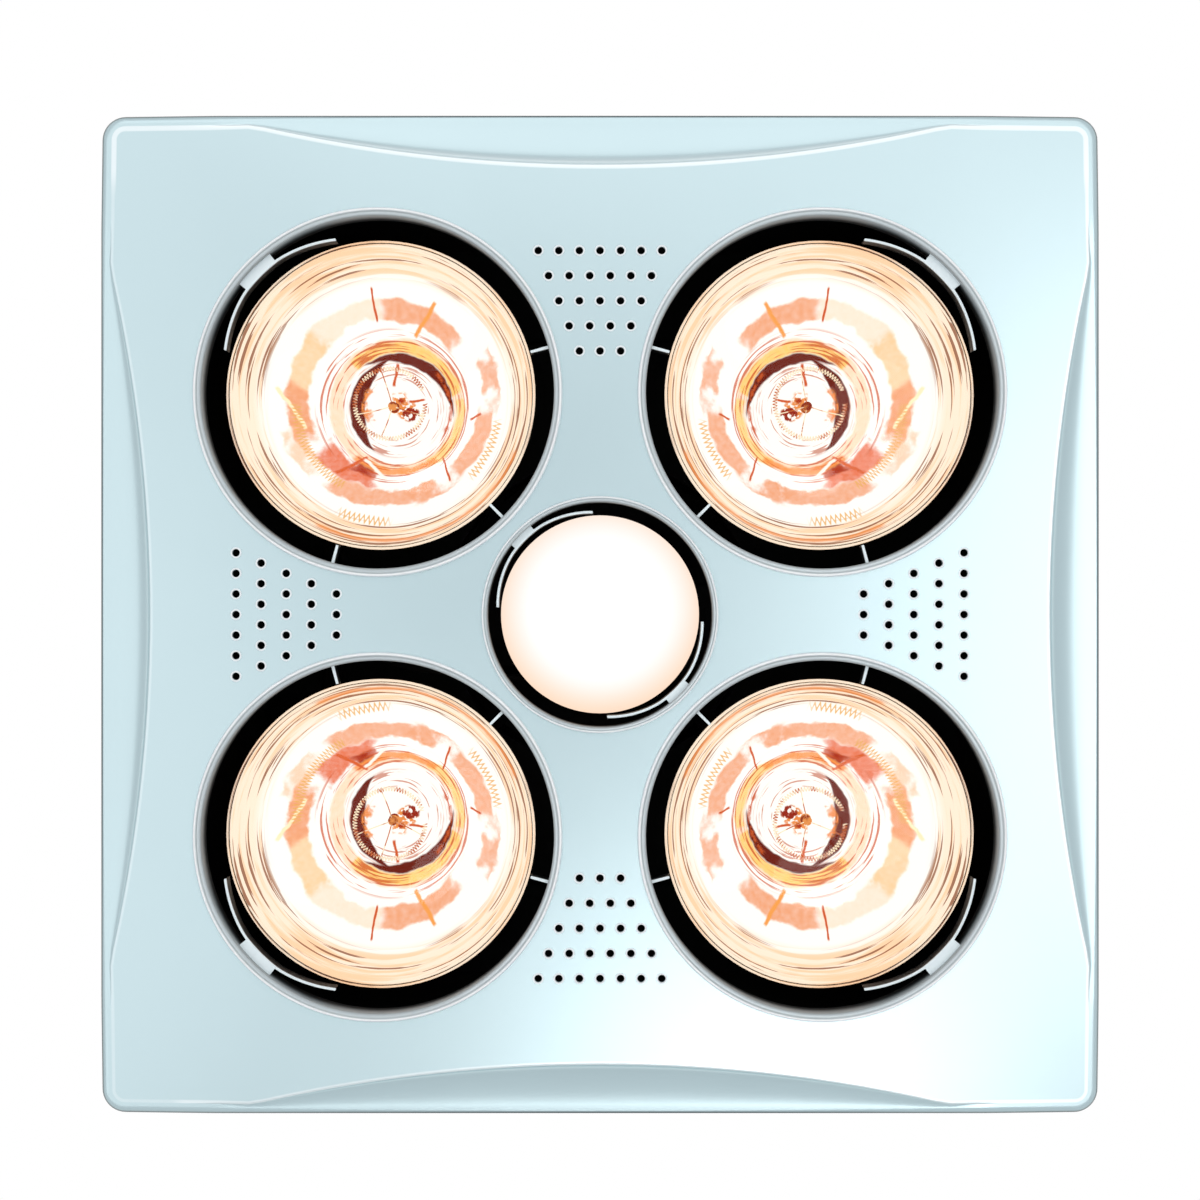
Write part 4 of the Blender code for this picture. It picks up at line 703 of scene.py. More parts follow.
class HEATER_OT_openings(bpy.types.Operator):
    """Build the beads and throats of the lamp openings, their ribs, fingers and the vents' rims"""

    bl_idname = "heater.openings"
    bl_label = "Openings"

    def execute(self, context):
        sizes, vents, colours = context.scene.fascia_sizes, context.scene.vent_sizes, context.scene.heater_colours
        plateau = -sizes.depth
        bright, dark, offset = tuple(colours.bead), tuple(colours.throat), abs(LAMP_AXES[1].x)
        heat = bead_plastic("heat_bead_plastic", bright, dark, offset, sizes.heat_throat, sizes.heat_bead, plateau)
        light = bead_plastic("light_bead_plastic", bright, dark, 0, sizes.light_throat, sizes.light_bead, plateau)
        bm = bmesh.new()
        for k, (matrix, throat, wall, bead) in enumerate(lamp_openings(sizes)):
            finish = k // len(LAMP_NUMBERS)
            turned(bm, self.ring_profile(sizes, throat, wall, bead), RING_STEPS, matrix, closed=True, material=finish)
        finish_piece("opening_rings", bm, "fascia", [heat, light], sharp=50)

        shaded = rib_plastic("rib_plastic", bright, dark, plateau + sizes.front)
        bm = bmesh.new()
        self.add_ribs_and_fingers(bm, sizes)
        soften(bm, *RIB_BEVEL)
        finish_piece("ribs_and_fingers", bm, "fascia", [shaded], sharp=50)

        # Whiter than the fascia, as a painted highlight on the rims
        rim_highlight = plain_mould("rim_plastic", VENT_RIM_HIGHLIGHT, 0.35)
        bore, rim, top = vents.bore / 2, vents.rim / 2, plateau - vents.rim_height
        middle = (bore + rim) / 2
        profile = [(bore, plateau + sizes.wall / 2), (bore, plateau - vents.rim_height / 3), (middle - bore / 6, top)]
        profile += [(middle + bore / 6, top), (rim, plateau + HAIR), (middle, plateau + sizes.wall / 2)]
        single = bmesh.new()
        turned(single, profile, VENT_STEPS, closed=True)
        bm = repeated(shape_of(single), [Matrix.Translation(point) for point in vent_places(vents)])
        finish_piece("vent_rims", bm, "fascia", [rim_highlight], sharp=60)
        return {"FINISHED"}

    def ring_profile(self, sizes, throat, wall, bead):
        """From the throat's upper end down to the shoulder and the ridge round it, and back up outside."""
        plateau = -sizes.depth
        points = [(throat + wall, -sizes.ring_back), (throat, -sizes.ring_back), (throat, plateau)]
        for across, rise in BEAD_SHARES:
            points.append((throat + bead * across, plateau - sizes.bead_height * rise))
        return points + [(throat + bead, plateau + sizes.wall / 4), (throat + wall, plateau + sizes.wall / 2)]

    def add_ribs_and_fingers(self, bm, sizes):
        """Three ribs and a pair of fingers for each heat lamp, and two pairs of fingers for the light."""
        openings = lamp_openings(sizes)
        front, back = -sizes.depth + sizes.front, -sizes.ring_back - RIB_STEP
        edge, half = GLASS_RADIUS + sizes.lamp_gap, sizes.rib / 2
        for matrix, throat, wall, _ in openings[:-1]:
            reach = throat + wall / 2
            for angle in RIB_TURNS:
                outline = ((edge, -half * 0.8), (reach, -half), (reach, half), (edge, half * 0.8))
                extruded(bm, outline, front, back, matrix @ turn_about_z(angle))
            pair = self.finger_outline(sizes, edge, throat - sizes.heat_root, reach, HEAT_FINGER_REACH)
            extruded(bm, pair, front, back, matrix @ turn_about_z(180))
        edge = LIGHT_RADIUS + sizes.lamp_gap
        _, throat, wall, _ = openings[-1]
        for angle in LIGHT_FINGER_TURNS:
            pair = self.finger_outline(sizes, edge, throat - sizes.light_root, throat + wall / 2, LIGHT_FINGER_REACH)
            extruded(bm, pair, front, back, turn_about_z(angle))

    def finger_outline(self, sizes, tip, root, wall, reach):
        """A pair of spring fingers: one root on the throat's wall, and an arm each way that draws in."""
        inner, outer = [], []
        for k in range(-FINGER_STEPS, FINGER_STEPS + 1):
            angle = math.radians(reach * k / FINGER_STEPS)
            draw = max(0.0, (abs(k) / FINGER_STEPS - FINGER_PLAIN) / (1 - FINGER_PLAIN))
            radius = root + (tip - root) * draw**FINGER_CURVE
            direction = Vector((math.cos(angle), math.sin(angle)))
            inner.append(direction * radius)
            outer.append((angle, direction * (radius + sizes.finger)))
        limit = math.radians(FINGER_ROOT)
        left = [point for angle, point in outer if angle < -limit]
        right = [point for angle, point in outer if angle > limit]
        root_block = []
        for angle in (-limit, -limit / 2, 0, limit / 2, limit):
            root_block.append(Vector((math.cos(angle), math.sin(angle))) * wall)
        foot = Vector((math.cos(limit), math.sin(limit))) * (root + sizes.finger)
        return left + [Vector((foot.x, -foot.y))] + root_block + [foot] + right + inner[::-1]


# The glass's outline from its apex to its neck, as shares of its radius and of its length
HEAT_GLASS_SHARES = (
    (0, 0), (0.52, 0.016), (0.86, 0.056), (1.0, 0.105), (0.90, 0.26), (0.70, 0.43), (0.36, 0.78), (0.24, 1),
)
LIGHT_GLASS_SHARES = ((0, 0), (0.52, 0.028), (0.87, 0.10), (1.0, 0.18), (0.95, 0.30), (0.58, 0.66), (0.375, 1))
GLASS_WALL = 0.0012
LAMP_STEPS = 96
# The shield's height, and its dip as shares of its radius and of the dip
SHIELD_HEIGHT = 0.094
SHIELD_DIP = 0.004
SHIELD_SHARES = ((0, 1), (0.5, 0.75), (0.9, 0.15), (1, 0))
SHIELD_SHEET = 0.0005
# The filament: its coil's turns, radius and wire, the points in a turn, and how far round the lamp's axis it runs
FILAMENT_TURNS = 70
FILAMENT_COIL = 0.0009
FILAMENT_WIRE = 0.00022
COIL_STEPS = 8
FILAMENT_SHARE = 0.94
FILAMENT_SUPPORTS = (20, 105, 162, 255)
# The stem's tip: how far above the filament it is, and its glass bead as radius and height
STEM_RISE = 0.016
STEM_BEAD = ((0, -0.002), (0.0014, -0.0014), (0.0020, 0), (0.0017, 0.004), (0.0024, 0.012))
STEM_STEPS = 16


def glass_outline(shares, low, high):
    """(radius, height) points up the glass, smoothed between the shares."""
    radius, rise = (high.x - low.x) / 2, high.z - low.z
    points = smooth_run([Vector((r * radius, z * rise)) for r, z in shares], between=6)
    return [(min(max(0.0, point.x), radius), low.z + max(0.0, point.y)) for point in points]


def inner_outline(outline, wall):
    """The same outline one wall further in."""
    inner = [(0, outline[0][1] + wall)]
    for (r0, z0), (r1, z1), (r2, z2) in zip(outline, outline[1:], outline[2:]):
        along = Vector((r2 - r0, z2 - z0)).normalized()
        inner.append((max(0.0, r1 - wall * along.y), z1 + wall * along.x))
    radius, height = outline[-1]
    return inner + [(radius - wall, height)]


def clear_glass(name):
    paint = Paint(name, base_color=(1.0, 0.98, 0.95), roughness=0.0, transmission_weight=1.0, ior=1.2)
    paint.set("Specular IOR Level", 0.25)
    paint.bump(paint.noise(60, 2), 0.03, 0.0002)
    return paint.material


def hot_wire(name, cool, hot):
    """A filament or its stem, which glows unevenly."""
    paint = Paint(name, base_color=(0.05, 0.02, 0.01), roughness=0.6, specular_ior_level=0.0, emission_strength=1.0)
    heat = paint.noise(160, 3)
    paint.set("Emission Color", paint.mix(heat.over(0.42, 0.56), cool, hot))
    return paint.material


def silvered_back(name):
    """Aluminised glass seen from outside, with its lacquer slightly uneven."""
    paint = Paint(name, metallic=1.0, base_color=(0.80, 0.80, 0.79))
    patch = paint.noise(45, 4)
    paint.set("Roughness", patch * 0.18 + 0.18)
    paint.bump(patch, 0.15, 0.0003)
    return paint.material


# Colours of what a lit reflector mirrors, painted on as reflections
SALMON = (0.86, 0.36, 0.18)
PEACH = (1.0, 0.66, 0.42)
AMBER = (1.0, 0.50, 0.13)
RUST = (0.62, 0.10, 0.02)
MAROON = (0.14, 0.010, 0.003)
RIM_TAN = (1.0, 0.82, 0.64)
RIM_ORANGE = (1.0, 0.62, 0.36)
RIM_BROWN = (0.30, 0.11, 0.05)
EDGE_ORANGE = (0.85, 0.28, 0.07)
INNER_RUST = (0.55, 0.12, 0.04)
COIL_GOLD = (0.80, 0.42, 0.10)
# Places are shares of the lamp's radius from its axis, with both axes towards the heater's middle.
# The arcs run round one middle, and the rings, crescents and lace round another.
ARC_MIDDLE = (-0.03, -0.04)
RING_MIDDLE = (0.018, -0.009)
# Arcs: facing in degrees, half width, inner and outer radius, raggedness, colour and strength
GLOW_ARCS = (
    (-118, 26, 0.55, 0.66, 0.10, PEACH, 0.55),
    (-66, 27, 0.54, 0.66, 0.08, SALMON, 0.95),
    (-158, 22, 0.54, 0.66, 0.10, (1.0, 0.60, 0.30), 0.85),
    (168, 20, 0.54, 0.67, 0.12, SALMON, 1.0),
    (146, 12, 0.61, 0.74, 0.14, (1.0, 0.55, 0.32), 0.75),
    (122, 22, 0.49, 0.62, 0.14, (0.80, 0.20, 0.10), 1.0),
    (112, 11, 0.46, 0.54, 0.12, (0.40, 0.03, 0.008), 1.0),
    (98, 26, 0.62, 0.73, 0.12, SALMON, 0.9),
    (62, 13, 0.62, 0.76, 0.14, SALMON, 0.95),
    (27, 21, 0.62, 0.74, 0.10, SALMON, 0.9),
    (-9, 14, 0.66, 0.78, 0.14, SALMON, 0.85),
)
GLOW_RINGS = (
    (0, 180, 0.39, 0.47, 0.05, AMBER, 0.5),
    (-75, 62, 0.385, 0.45, 0.06, (1.0, 0.62, 0.16), 0.95),
    (28, 34, 0.41, 0.48, 0.08, (1.0, 0.66, 0.22), 0.9),
    (92, 40, 0.42, 0.47, 0.08, (0.95, 0.30, 0.06), 0.9),
)
# Crescents: radius of the round edge, then middle and radius of the edge that hollows it
GLOW_CRESCENTS = (
    (0.383, (-0.061, 0.127), 0.462),
    (0.345, (0.294, 0.040), 0.512),
)
# Arcs over the crescents, broken by the grain
GLOW_LACE = (
    (186, 30, 0.205, 0.245, 0.18, (0.84, 0.26, 0.06), 0.95),
    (-8, 36, 0.345, 0.372, 0.08, (0.60, 0.10, 0.02), 0.8),
)
# Straight streaks: start, end, half width, colour
GLOW_STREAKS = (
    ((-0.11, -0.76), (-0.10, -0.57), 0.007, RUST),
    ((0.32, -0.66), (0.15, -0.48), 0.013, (0.90, 0.35, 0.08)),
    ((0.53, 0.09), (0.61, 0.06), 0.008, RUST),
    ((0.34, 0.34), (0.41, 0.52), 0.006, RUST),
    ((-0.74, -0.10), (-0.58, 0.16), 0.011, (1.0, 0.86, 0.55)),
    ((-0.38, 0.46), (-0.20, 0.33), 0.012, (0.70, 0.12, 0.03)),
    ((-0.22, 0.35), (-0.05, 0.49), 0.010, (1.0, 0.94, 0.85)),
    ((0.01, -0.32), (-0.01, -0.16), 0.009, RUST),
    ((0.09, -0.05), (0.20, -0.06), 0.008, RUST),
)
# Spots: middle, radius, colour
GLOW_SPOTS = (
    ((0.028, -0.060), 0.062, (0.85, 0.30, 0.08)), ((0.030, -0.060), 0.040, (0.42, 0.04, 0.01)),
    ((0.085, 0.01), 0.066, (0.80, 0.26, 0.06)), ((0.108, 0.030), 0.048, (0.30, 0.02, 0.006)),
)
# Mirrored coils: facing, half width, radius, waves in a full turn
GLOW_COILS = ((26, 16, 0.745, 150), (150, 30, 0.635, 170), (101, 12, 0.80, 150))
# Half of a coil's width, and where its line starts and ends to fade
COIL_SWING = 0.020
COIL_LINE = (0.020, 0.007)


class Glow:
    """Painted reflections: what a lit reflector mirrors, drawn in shares of the lamp's radius from its axis."""

    def __init__(self, paint, u, v):
        self.paint, self.u, self.v = paint, u, v
        self.wobble = paint.noise(1.0, 4, paint.vector(u * 7, v * 7, 0)) - 0.5
        self.grain = paint.noise(1.0, 4, paint.vector(u * 26, v * 26, 5))

    def about(self, centre):
        """Both ways and the distance from a middle."""
        a, b = self.u - centre[0], self.v - centre[1]
        return a, b, (a * a + b * b) ** 0.5

    def facing(self, a, b, reach, direction):
        """1 straight in a direction, and -1 opposite to it."""
        angle = math.radians(direction)
        return (a * math.cos(angle) + b * math.sin(angle)) / reach

    def arc(self, centre, direction, half, inner, outer, ragged):
        a, b, reach = self.about(centre)
        ring = (reach + self.wobble * ragged).band(inner, outer, 0.011)
        if half >= 180:
            return ring
        edge = math.cos(math.radians(half))
        turn = self.facing(a, b, reach, direction) + self.wobble * (ragged * 1.5)
        return turn.over(edge - 0.02, edge + 0.03) * ring

    def crescent(self, radius, hollow_middle, hollow):
        """A disc round the rings' middle, hollowed out by another."""
        _, _, reach = self.about(RING_MIDDLE)
        _, _, inside = self.about(hollow_middle)
        rough, soft = self.wobble * 0.05, 0.008
        round_edge = (reach + rough).over(radius + soft, radius - soft)
        return round_edge * (inside + rough).over(hollow - soft, hollow + soft)

    def streak(self, start, end, half_width):
        run = Vector(end) - Vector(start)
        along = run.normalized()
        a, b = self.u - start[0], self.v - start[1]
        far = a * along.x + b * along.y
        off = abs(a * -along.y + b * along.x + self.wobble * 0.05)
        return far.band(0, run.length, 0.01) * off.over(half_width * 1.5, half_width * 0.5)

    def spot(self, centre, radius):
        _, _, reach = self.about(centre)
        return (reach + self.wobble * 0.16).over(radius + 0.012, radius - 0.012)

    def coil(self, direction, half, radius, waves):
        """A wavy line round the axis, as a coiled filament looks in a mirror."""
        a, b, reach = self.about((0, 0))
        wave = (b.math("ARCTAN2", a) * waves).math("SINE")
        line = abs(reach + wave * COIL_SWING + self.wobble * 0.03 - radius)
        edge = math.cos(math.radians(half))
        turn = self.facing(a, b, reach, direction)
        return line.over(*COIL_LINE) * turn.over(edge - 0.01, edge + 0.01)

    def rings(self, stretch, seed):
        """Streaks that run round the axis."""
        a, b, reach = self.about((0, 0))
        spin = self.paint.vector(a / reach * 1.3, b / reach * 1.3, reach * stretch + seed)
        return self.paint.noise(1.0, 3, spin), reach


def lamp_glow(name, offset, glow):
    """The lit inside of a heat lamp's reflector, painted as light: white hot, with painted reflections of what it
    mirrors of itself.
    """
    paint = Paint(name, base_color=(0.005, 0.004, 0.003), roughness=0.9, specular_ior_level=0.0, emission_strength=1.1)
    x, y, _ = paint.axes()
    marks = Glow(paint, (offset - abs(x)) / GLASS_RADIUS, (offset - abs(y)) / GLASS_RADIUS)
    fine_rings, reach = marks.rings(44, 0)
    close_rings, _ = marks.rings(75, 9)
    mottle, lace = marks.grain * 0.5 + 0.70, marks.grain.over(0.35, 0.55)
    # The tan zone by the rim, with streaks and a line that run round it
    tone = paint.mix(reach.over(0.80, 0.88) * 0.9, glow, RIM_TAN)
    tone = paint.mix(fine_rings.over(0.47, 0.60) * reach.over(0.78, 0.86) * 0.8, tone, RIM_ORANGE)
    tone = paint.mix(close_rings.over(0.575, 0.61) * reach.over(0.80, 0.84) * 0.9, tone, RIM_BROWN)
    tone = paint.mix(marks.arc((0, 0), 70, 48, 0.925, 0.95, 0.03) * 0.8, tone, EDGE_ORANGE)
    # The arcs, and the rings inside them
    for middle, arcs in ((ARC_MIDDLE, GLOW_ARCS), (RING_MIDDLE, GLOW_RINGS)):
        for *form, tint, strength in arcs:
            tone = paint.mix(marks.arc(middle, *form) * mottle * strength, tone, tint)
    tone = paint.mix(close_rings.over(0.53, 0.58) * reach.band(0.355, 0.53, 0.02) * 0.85, tone, RUST)
    tone = paint.mix(close_rings.over(0.55, 0.60) * reach.band(0.21, 0.33, 0.015) * 0.75, tone, INNER_RUST)
    # The filament's own mirror image, and the marks that stand alone
    for crescent in GLOW_CRESCENTS:
        tone = paint.mix(marks.crescent(*crescent), tone, MAROON)
    for *form, tint, strength in GLOW_LACE:
        tone = paint.mix(marks.arc(RING_MIDDLE, *form) * lace * strength, tone, tint)
    for *form, tint in GLOW_STREAKS:
        tone = paint.mix(marks.streak(*form), tone, tint)
    for *form, tint in GLOW_SPOTS:
        tone = paint.mix(marks.spot(*form) * marks.grain.over(0.42, 0.5), tone, tint)
    for coil in GLOW_COILS:
        tone = paint.mix(marks.coil(*coil) * 0.85, tone, COIL_GOLD)
    paint.set("Emission Color", tone)
    return paint.material


class HEATER_OT_heat_lamps(bpy.types.Operator):
    """Build the four reflector heat lamps, with their domed faces, glowing reflectors and filaments"""

    bl_idname = "heater.heat_lamps"
    bl_label = "Heat lamps"

    def execute(self, context):
        clear = clear_glass("lamp_face_glass")
        silver = silvered_back("lamp_silvering")
        glow = lamp_glow("lamp_glow", abs(LAMP_AXES[1].x), tuple(context.scene.heater_colours.glow))
        hot = hot_wire("hot_filament", (0.55, 0.12, 0.03), (1.0, 0.86, 0.62))
        stem = hot_wire("hot_stem", (0.24, 0.02, 0.005), (0.80, 0.30, 0.08))
        outline = glass_outline(HEAT_GLASS_SHARES, GLASS_LOW, GLASS_HIGH)
        inner = inner_outline(outline, GLASS_WALL)
        rim = max(range(len(outline)), key=lambda k: outline[k][0])
        bulb, wires = bmesh.new(), bmesh.new()
        turned(bulb, inner[:rim + 1][::-1] + outline[:rim + 1], LAMP_STEPS, closed=True, material=0)
        lift = Matrix.Translation((0, 0, HAIR))
        shell = turned(bulb, outline[rim:] + inner[rim:][::-1], LAMP_STEPS, lift, closed=True, material=1)
        middles = [((r0 + r1) / 2, (z0 + z1) / 2) for (r0, z0), (r1, z1) in zip(outline[rim:], inner[rim:])]
        for face in shell:
            centre = face.calc_center_median()
            radius, _ = min(middles, key=lambda middle: abs(middle[1] - centre.z))
            if math.hypot(centre.x, centre.y) < radius:
                face.material_index = 2
        turned(bulb, self.shield(inner), LAMP_STEPS, closed=True, material=2)
        self.add_filament(wires)
        bulb, wires = shape_of(bulb), shape_of(wires)
        for n, axis in LAMP_AXES.items():
            place, body = [Matrix.Translation(axis)], f"heat_lamp_{n}"
            glass, wire = f"{body}_glass", f"{body}_filament"
            finish_piece(f"{body}_bulb", repeated(bulb, place), body, [clear, silver, glow], [glass])
            finish_piece(f"{body}_wires", repeated(wires, place), body, [hot, stem], [wire])
        return {"FINISHED"}

    def shield(self, inner):
        """The heat shield across the neck, a shallow dish on the reflector's inner skin."""
        radius, height = min(inner, key=lambda point: abs(point[1] - SHIELD_HEIGHT))
        edge = radius - HAIR
        dish = [(edge * out, height - SHIELD_DIP * dip) for out, dip in SHIELD_SHARES]
        return dish + [(edge, height + SHIELD_SHEET), (0, height - SHIELD_DIP + SHIELD_SHEET)]

    def add_filament(self, bm):
        """A coiled ring on supports that spring from the stem's tip."""
        low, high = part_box("heat_lamp_1_filament")
        thick = FILAMENT_COIL + FILAMENT_WIRE
        ring, height = (high.x - low.x) / 2 - thick, low.z + thick
        steps = FILAMENT_TURNS * COIL_STEPS
        coil = []
        for k in range(steps):
            turn, bend = math.tau * k / steps * FILAMENT_SHARE, math.tau * k / COIL_STEPS
            out = ring + FILAMENT_COIL * math.cos(bend)
            coil.append(Vector((out * math.cos(turn), out * math.sin(turn), height + FILAMENT_COIL * math.sin(bend))))
        add_wire(bm, coil, FILAMENT_WIRE)
        tip = Vector((0, 0, height + STEM_RISE))
        for turn in FILAMENT_SUPPORTS:
            angle = math.radians(turn)
            foot = Vector((ring * math.cos(angle), ring * math.sin(angle), height))
            bend = (tip + foot) / 2 + Vector((0, 0, STEM_RISE / 4))
            add_wire(bm, smooth_run([tip, bend, foot], between=4), FILAMENT_WIRE)
        place = Matrix.Translation(tip)
        turned(bm, [*STEM_BEAD, (0, SHIELD_HEIGHT - tip.z)], STEM_STEPS, place, material=1)


# The light's glow: white, warm towards one edge, and darker up its back, from the heat lamps' lowest point
WHITE = (1.0, 1.0, 1.0)
WARM_WHITE = (1.0, 0.74, 0.56)
WARM_EDGE = (0.62, 1.12)
WARM_LEAN = 2.2
BACK_TONE = (0.3, 0.2, 0.12)
BACK_EDGE = (0.02, 0.05)
OPAL = (0.06, 0.055, 0.05)


class HEATER_OT_light(bpy.types.Operator):
    """Build the opal reflector light in the middle"""

    bl_idname = "heater.light"
    bl_label = "Centre light"

    def execute(self, context):
        outline = glass_outline(LIGHT_GLASS_SHARES, LIGHT_LOW, LIGHT_HIGH)
        inner = inner_outline(outline, GLASS_WALL)
        bm = bmesh.new()
        turned(bm, inner[::-1] + outline, LAMP_STEPS, closed=True)
        paint = Paint("opal_glass", roughness=0.12, emission_strength=1.0, specular_ior_level=0.2)
        x, y, height = paint.axes()
        reach = (x * x + y * y) ** 0.5 / LIGHT_RADIUS
        face = paint.mix((reach + y * WARM_LEAN).over(*WARM_EDGE), WHITE, WARM_WHITE)
        paint.set("Emission Color", paint.mix(height.past(GLASS_LOW.z, BACK_EDGE), face, BACK_TONE))
        paint.set("Base Color", OPAL)
        finish_piece("light_bulb", bm, "light_lamp", [paint.material], ["light_lamp_glass"])
        return {"FINISHED"}


ZINC_METALLIC = 0.9
SPANGLE_SCALE = 95
BLACKED = (0.012, 0.013, 0.014)
SATIN_BLACK = (0.012, 0.012, 0.013)
# Where the black starts, from the case's inner wall, from its top, from the duct's outside and from its foot; in the
# duct it is painted shade
CASE_SKIN = (0.0006, 0.0004)
ROOF_SKIN = (-0.0005, -0.0007)
DUCT_SKIN = (-0.0008, -0.0012)
FOOT_SKIN = (0.0003, 0.0001)


def galvanised(name, base, inside=None, dull=0.0):
    """Zinc-coated sheet with its crystal spangle, black where a mask that inside makes is 1."""
    paint = Paint(name, metallic=ZINC_METALLIC)
    cells = paint.node("ShaderNodeTexVoronoi", {}, {"Vector": paint.place(), "Scale": SPANGLE_SCALE})
    grey = paint.node("ShaderNodeRGBToBW", {}, {0: cells[1]})[0]
    cloud = paint.noise(9, 4)
    tone = paint.mix(grey, shade(base, 0.82), shade(base, 1.12))
    tone = paint.mix(cloud.over(0.35, 0.75) * 0.35, tone, shade(base, 0.8))
    rough = grey * 0.16 + cloud * 0.10 + 0.26
    if inside:
        mask = inside(paint)
        tone = paint.mix(mask, tone, BLACKED)
        rough = mask * dull + rough
        paint.set("Metallic", (1 - mask) * ZINC_METALLIC)
        paint.set("Specular IOR Level", 0.1)
    paint.set("Base Color", tone)
    paint.set("Roughness", rough)
    return paint.material


def case_inside(paint):
    """The case's inner skin, between its walls and under its roof."""
    x, y, z = paint.axes()
    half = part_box("light_bracket")[1].x
    return abs(x).past(half, CASE_SKIN) * abs(y).past(half, CASE_SKIN) * z.past(CASE_TOP, ROOF_SKIN)


def duct_inside_shade(paint):
    """The spigot's inner skin and its foot, black as painted shade."""
    x, y, z = paint.axes()
    reach = (x * x + y * y) ** 0.5
    return reach.past(SPIGOT_RADIUS, DUCT_SKIN).math("MAXIMUM", z.past(SPIGOT_LOW.z, FOOT_SKIN))


def plain_metal(name, base, roughness):
    """Drawn, turned or plated metal with fine wear."""
    paint = Paint(name, metallic=1.0)
    grain = paint.noise(420, 4)
    paint.set("Base Color", paint.mix(grain, shade(base, 0.88), shade(base, 1.08)))
    paint.set("Roughness", grain * 0.14 + (roughness - 0.07))
    return paint.material


def plain_mould(name, base, roughness, gloss=0.5):
    """Moulded plastic, porcelain, rubber or paint with a faint surface texture."""
    paint = Paint(name, specular_ior_level=gloss)
    grain = paint.noise(600, 3)
    cloud = paint.noise(40, 3)
    paint.set("Base Color", paint.mix(cloud, shade(base, 0.92), shade(base, 1.05)))
    paint.set("Roughness", grain * 0.10 + (roughness - 0.05))
    paint.bump(grain, 0.12, 0.0001)
    return paint.material


# How a node's name starts, and its finish. The first that fits counts.
# The brackets, the bridge, the damper's pin and the cut-out take the dark finish, the flaps the black one and the
# stator its laminations, all near black as painted shade; the impeller's black is its own
FINISH_OF = (
    ("case_box", "case"), ("duct_spigot", "spigot"), ("light_bracket", "dark"), ("motor_bracket", "dark"),
    ("motor_bridge", "dark"), ("terminal_box", "sheet"), ("terminal_cover", "sheet"), ("terminal_block", "porcelain"),
    ("cable_gland", "black"), ("clamp_screw", "plated"), ("clamp_dog", "plated"), ("damper_pin", "dark"),
    ("flap_", "black"), ("hanger_spring", "steel"), ("impeller_nut", "brass"), ("impeller", "black"),
    ("rotor_shaft", "steel"), ("motor_stator", "lamination"), ("motor_coil", "coil"), ("lampholder", "porcelain"),
    ("socket_shell", "brass"), ("lead_", "sleeve"), ("thermal_cutout", "dark"), ("heat_lamp", "aluminium"),
    ("light_lamp", "aluminium"),
)


class HEATER_OT_finishes(bpy.types.Operator):
    """Give every CAD node that still shows its finish"""

    bl_idname = "heater.finishes"
    bl_label = "Finishes"

    def execute(self, context):
        zinc = tuple(context.scene.heater_colours.zinc)
        finishes = {
            "case": galvanised("case_zinc", zinc, case_inside, 0.6),
            "spigot": galvanised("duct_zinc", zinc, duct_inside_shade),
            "sheet": galvanised("sheet_zinc", zinc),
            "steel": plain_metal("bright_steel", (0.56, 0.56, 0.57), 0.28),
            "plated": plain_metal("yellow_zinc_plate", (0.62, 0.60, 0.55), 0.34),
            "aluminium": plain_metal("flap_aluminium", (0.74, 0.75, 0.77), 0.34),
            "brass": plain_metal("brass", (0.75, 0.57, 0.26), 0.30),
            # Satin black: the impeller's own colour, and painted shade on the flaps
            "black": plain_mould("black_moulding", SATIN_BLACK, 0.6, 0.15),
            # Near black as painted shade, for parts seen only deep inside
            "dark": plain_mould("steel_in_painted_shade", (0.006, 0.006, 0.007), 0.8, 0.05),
            "porcelain": plain_mould("porcelain", (0.82, 0.80, 0.75), 0.18),
            "coil": plain_mould("coil_tape", (0.60, 0.40, 0.07), 0.55),
            "sleeve": plain_mould("lead_sleeve", (0.010, 0.009, 0.009), 0.8, 0.1),
            # Near black as painted shade
            "lamination": plain_mould("laminations", (0.012, 0.012, 0.014), 0.8, 0.1),
        }
        for node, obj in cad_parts.items():
            for start, finish in FINISH_OF:
                if node.startswith(start):
                    for slot in obj.material_slots:
                        slot.material = finishes[finish]
                    break
        return {"FINISHED"}


# Heights of the rivets, as shares of the case's and of the spigot's height
CORNER_RIVETS = (0.16, 0.5, 0.84)
SEAM_RIVETS = (0.18, 0.39, 0.60, 0.81)
FLANGE_SCREWS = 6
SCREW_STEPS = 24
RIVET_STEPS = 16
DUCT_STEPS = 160
SEAT_STEPS = 128
# What the screws' heads turn by from one to the next, in degrees, so that no two stand alike
SCREW_TURN = 17
BEAD_STEPS = 8
SEAM_STEPS = 12
# How deep the seam sits in the spigot's wall, and below its rim
SEAM_SINK = 0.0004


def aim(direction):
    """A turn that takes +Z to a direction."""
    return Vector(direction).to_track_quat("Z", "Y").to_matrix().to_4x4()


def add_hex_screw(bm, sizes, matrix):
    """A washer-faced sheet metal screw with a hexagonal head, in shares of its own sizes."""
    washer, across, tall = sizes.washer / 2, sizes.hexagon / 2, sizes.head_height
    skirt = tall * 0.3
    profile = [(washer, 0), (washer, skirt * 0.5), (washer * 0.94, skirt * 0.9), (across * 0.8, skirt)]
    turned(bm, profile, SCREW_STEPS, matrix)
    outline = [turn_about_z(60 * k) @ Vector((across / math.cos(math.pi / 6), 0, 0)) for k in range(6)]
    extruded(bm, [(point.x, point.y) for point in outline], skirt * 0.5, tall, matrix)


def add_rivet(bm, sizes, matrix):
    """A domed blind rivet with the hole that its pin leaves, in shares of its own sizes."""
    radius, tall = sizes.rivet / 2, sizes.rivet_height
    profile = [(0, tall * 0.55), (radius * 0.30, tall * 0.55), (radius * 0.36, tall)]
    profile += [(radius * 0.62, tall * 0.9), (radius * 0.88, tall * 0.5), (radius, 0)]
    turned(bm, profile, RIVET_STEPS, matrix)


